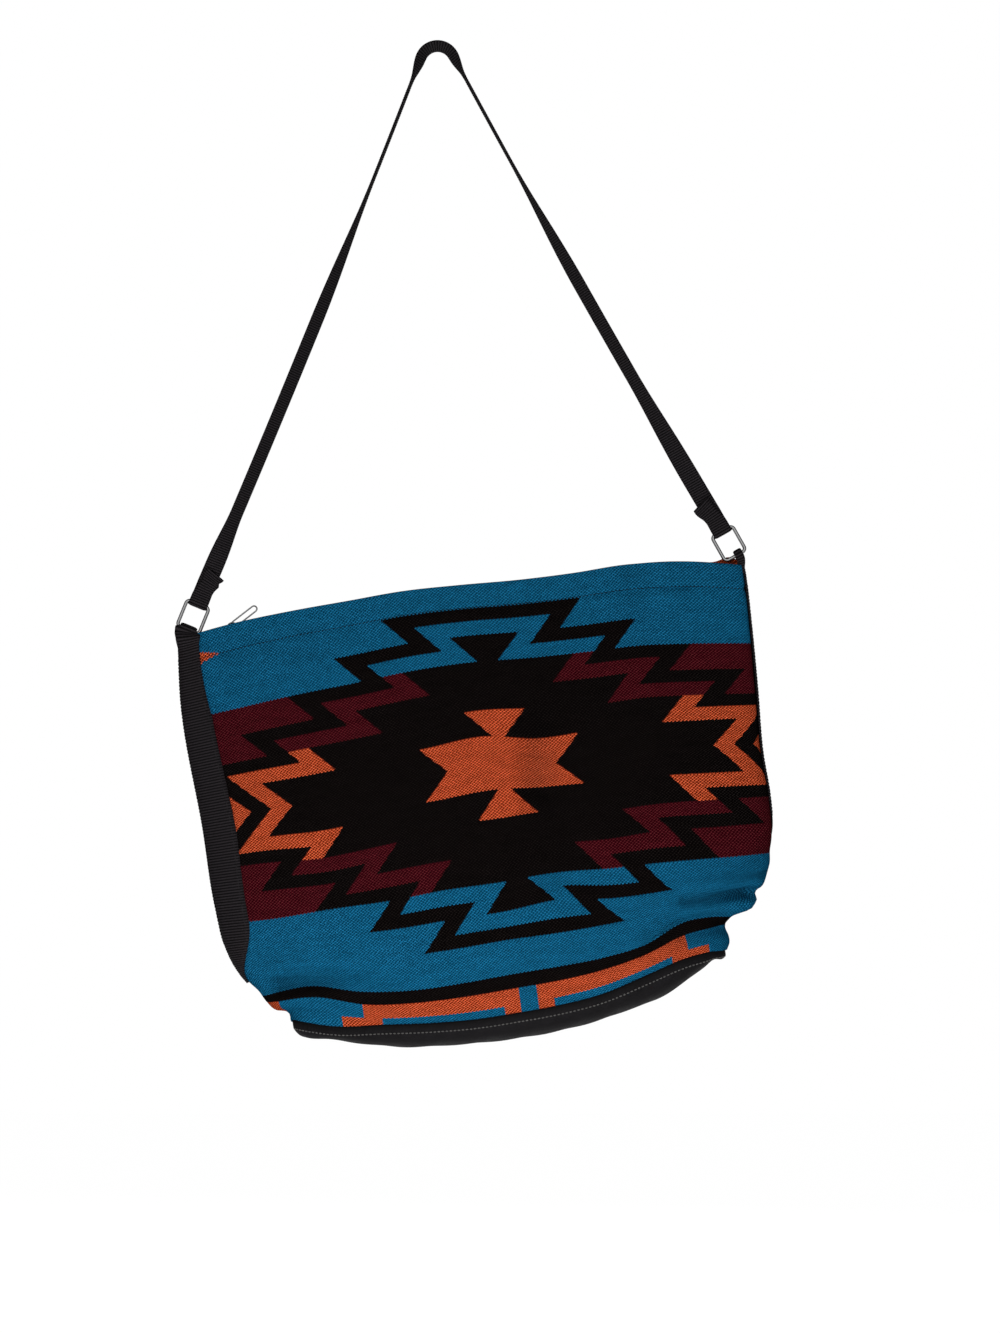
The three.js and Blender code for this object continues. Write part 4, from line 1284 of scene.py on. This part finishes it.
slider = {
    "length": 11,
    "width": 8.4,
    "plate": 1.2,
    "rounding": 0.45,
    "taper": 0.22,
    "rail": (9.02, 0.9, 1.3),  # under each side of the upper plate
    "wedge": (3.3, 1),  # between the two plates
    "bailHigh": 6.4,
    "bailWide": 9,
    "bailWire": 1.1,
    "bailDeep": 1.6,
    "bailPoints": (25, 12),  # along the bail and round its wire
}
pull = {"length": 26, "width": 5.5, "corner": 2.65, "wire": 1.3, "lift": 30, "twist": 66}
sliderX = -zipper["left"] + zipper["stopLength"] + zipper["clearance"] + slider["length"] / 2
sliderTop = 2 * zipper["clearance"] - zipper["depth"] + zipper["coilHigh"]


def makeBail():  # an arch of flat wire over the pull
    s = slider
    along, sides = s["bailPoints"]
    turns = np.linspace(0, math.pi, along)
    archX = sliderX - np.cos(turns) * (s["bailWide"] - s["bailWire"]) / 2
    rise = np.sin(turns) ** 0.55 * (s["bailHigh"] - s["bailWire"] / 2)
    arch = np.stack([archX, np.zeros(along), sliderTop + s["plate"] / 2 + rise], 1)
    outward = np.cross(unit(np.gradient(arch, axis=0)), -backwards)
    roundWire = np.linspace(0, math.tau, sides, endpoint=False)[None, :, None]
    tube = arch[:, None] + outward[:, None] * np.cos(roundWire) * s["bailWire"] / 2
    tube = tube + backwards * np.sin(roundWire) * s["bailDeep"] / 2
    ends = [list(range(sides)), list(range((along - 1) * sides, along * sides))]
    return tube, gridFaces(along, sides, loopColumns=True) + ends


def makeSlider():
    s = slider
    under = -zipper["depth"] - zipper["tape"] - zipper["clearance"] - 0.5
    top = sliderTop + s["plate"] / 2
    plate = (s["length"], s["width"], s["plate"])
    parts = [
        softBlock(plate, (sliderX, 0, middle), s["rounding"], s["taper"])
        for middle in (top, under - s["plate"] / 2)
    ]
    parts.append(softBlock((*s["wedge"], top - under), (sliderX - 3, 0, (top + under) / 2), 0.2))
    for side in (-1, 1):
        place = (sliderX - 0.4, side * (s["width"] / 2 - 0.75), sliderTop - 0.3)
        parts.append(softBlock(s["rail"], place, 0.3))
    parts.append(makeBail())
    piece = steelPiece("zipSlider", parts)
    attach(piece, "slider")
    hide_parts("zip_slider")


def makePull():
    points, faces = wireLoop(pull["width"], pull["length"], pull["corner"], pull["wire"], 10, 12)
    turned = Matrix.Rotation(math.pi / 2 - math.radians(pull["lift"]), 3, "Y")
    turned = turned @ Matrix.Rotation(math.pi / 2 + math.radians(pull["twist"]), 3, "Z")
    pivot = sliderTop + (slider["plate"] + slider["bailHigh"]) / 2
    placed = points.reshape(-1, 3) @ np.array(turned).T + [sliderX, 0, pivot]
    piece = steelPiece("zipPull", [(placed, faces)], smooth=180)
    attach(piece, "pull")
    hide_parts("zip_pull")


makeSlider()
makePull()
print("slider and pull on the zip")

# Studio: a pale floor well below the hanging bag, soft lamps and an even white surround
studio = {
    "floorDrop": 0.4,
    "floorSize": 9,
    "surround": 0.31,
    "aim": (0.05, 0, -0.6),  # where the lamps point
    # name, place, size, power
    "lamps": [
        ("key", (-1.4, -2, 0.4), 1, 12),
        ("fill", (1.6, -1.7, -0.7), 1.4, 6),
        ("low", (0, -0.78, -0.95), 0.5, 5.2),
        ("back", (0.6, 2.2, 0.3), 1.6, 26),
    ],
}


def makeSurround():  # white to the camera, dimmer as a lamp, and a room bright in front in reflections
    world = bpy.data.worlds.new("surround")
    bpy.context.scene.world = world
    world.use_nodes = True
    tree = world.node_tree
    light = tree.nodes["Background"]
    light.inputs["Color"].default_value = (1, 1, 1, 1)
    seen = Wire(tree).add("ShaderNodeLightPath", out="Is Camera Ray")
    mirrored = seen.output("Is Glossy Ray").most(seen.output("Is Transmission Ray"))
    place = seen.add("ShaderNodeTexCoord", out=3)
    split = place.add("ShaderNodeSeparateXYZ", {}, {0: place})
    front, up = split.output(1) * -0.5 + 0.5, split.output(2) * 0.5 + 0.5
    core = front * front * front
    room = core * core * (up * 1.3 + 0.5) + 0.035
    strength = seen.most((1 - seen) * studio["surround"]) * (1 - mirrored) + mirrored * room
    tree.links.new(strength.socket, light.inputs["Strength"])


def makeFloor():  # glows to the camera, so that it is as white as the surround
    low = cadBox[0][2] - studio["floorDrop"]
    half = studio["floorSize"] / 2
    corners = [(-half, -half, low), (half, -half, low), (half, half, low), (-half, half, low)]
    material, shader, wire = newFinish("paleFloor", (0.8, 0.8, 0.8), 0.9)
    floor = newPiece("floor", np.array(corners), [[0, 1, 2, 3]], material)
    seen = wire.add("ShaderNodeLightPath", out="Is Camera Ray")
    glow = wire.add("ShaderNodeEmission", {}, {"Color": (1, 1, 1, 1), "Strength": 1.08})
    matt = Wire(wire.tree, shader.outputs[0])
    mixed = wire.add("ShaderNodeMixShader", {}, {0: seen * 0.9, 1: matt, 2: glow})
    wire.tree.links.new(mixed.socket, wire.tree.nodes["Material Output"].inputs["Surface"])


def makeLamp(name, place, size, power):
    lamp = bpy.data.lights.new(name, "AREA")
    lamp.energy = power
    lamp.size = size
    holder = linked(name, lamp)
    holder.location = place
    holder.visible_glossy = False
    away = Vector(place) - Vector(studio["aim"])
    holder.rotation_euler = away.to_track_quat("Z", "Y").to_euler()


bpy.context.scene.view_settings.view_transform = "Standard"
makeSurround()
makeFloor()
for lamp in studio["lamps"]:
    makeLamp(*lamp)
print("studio lit")
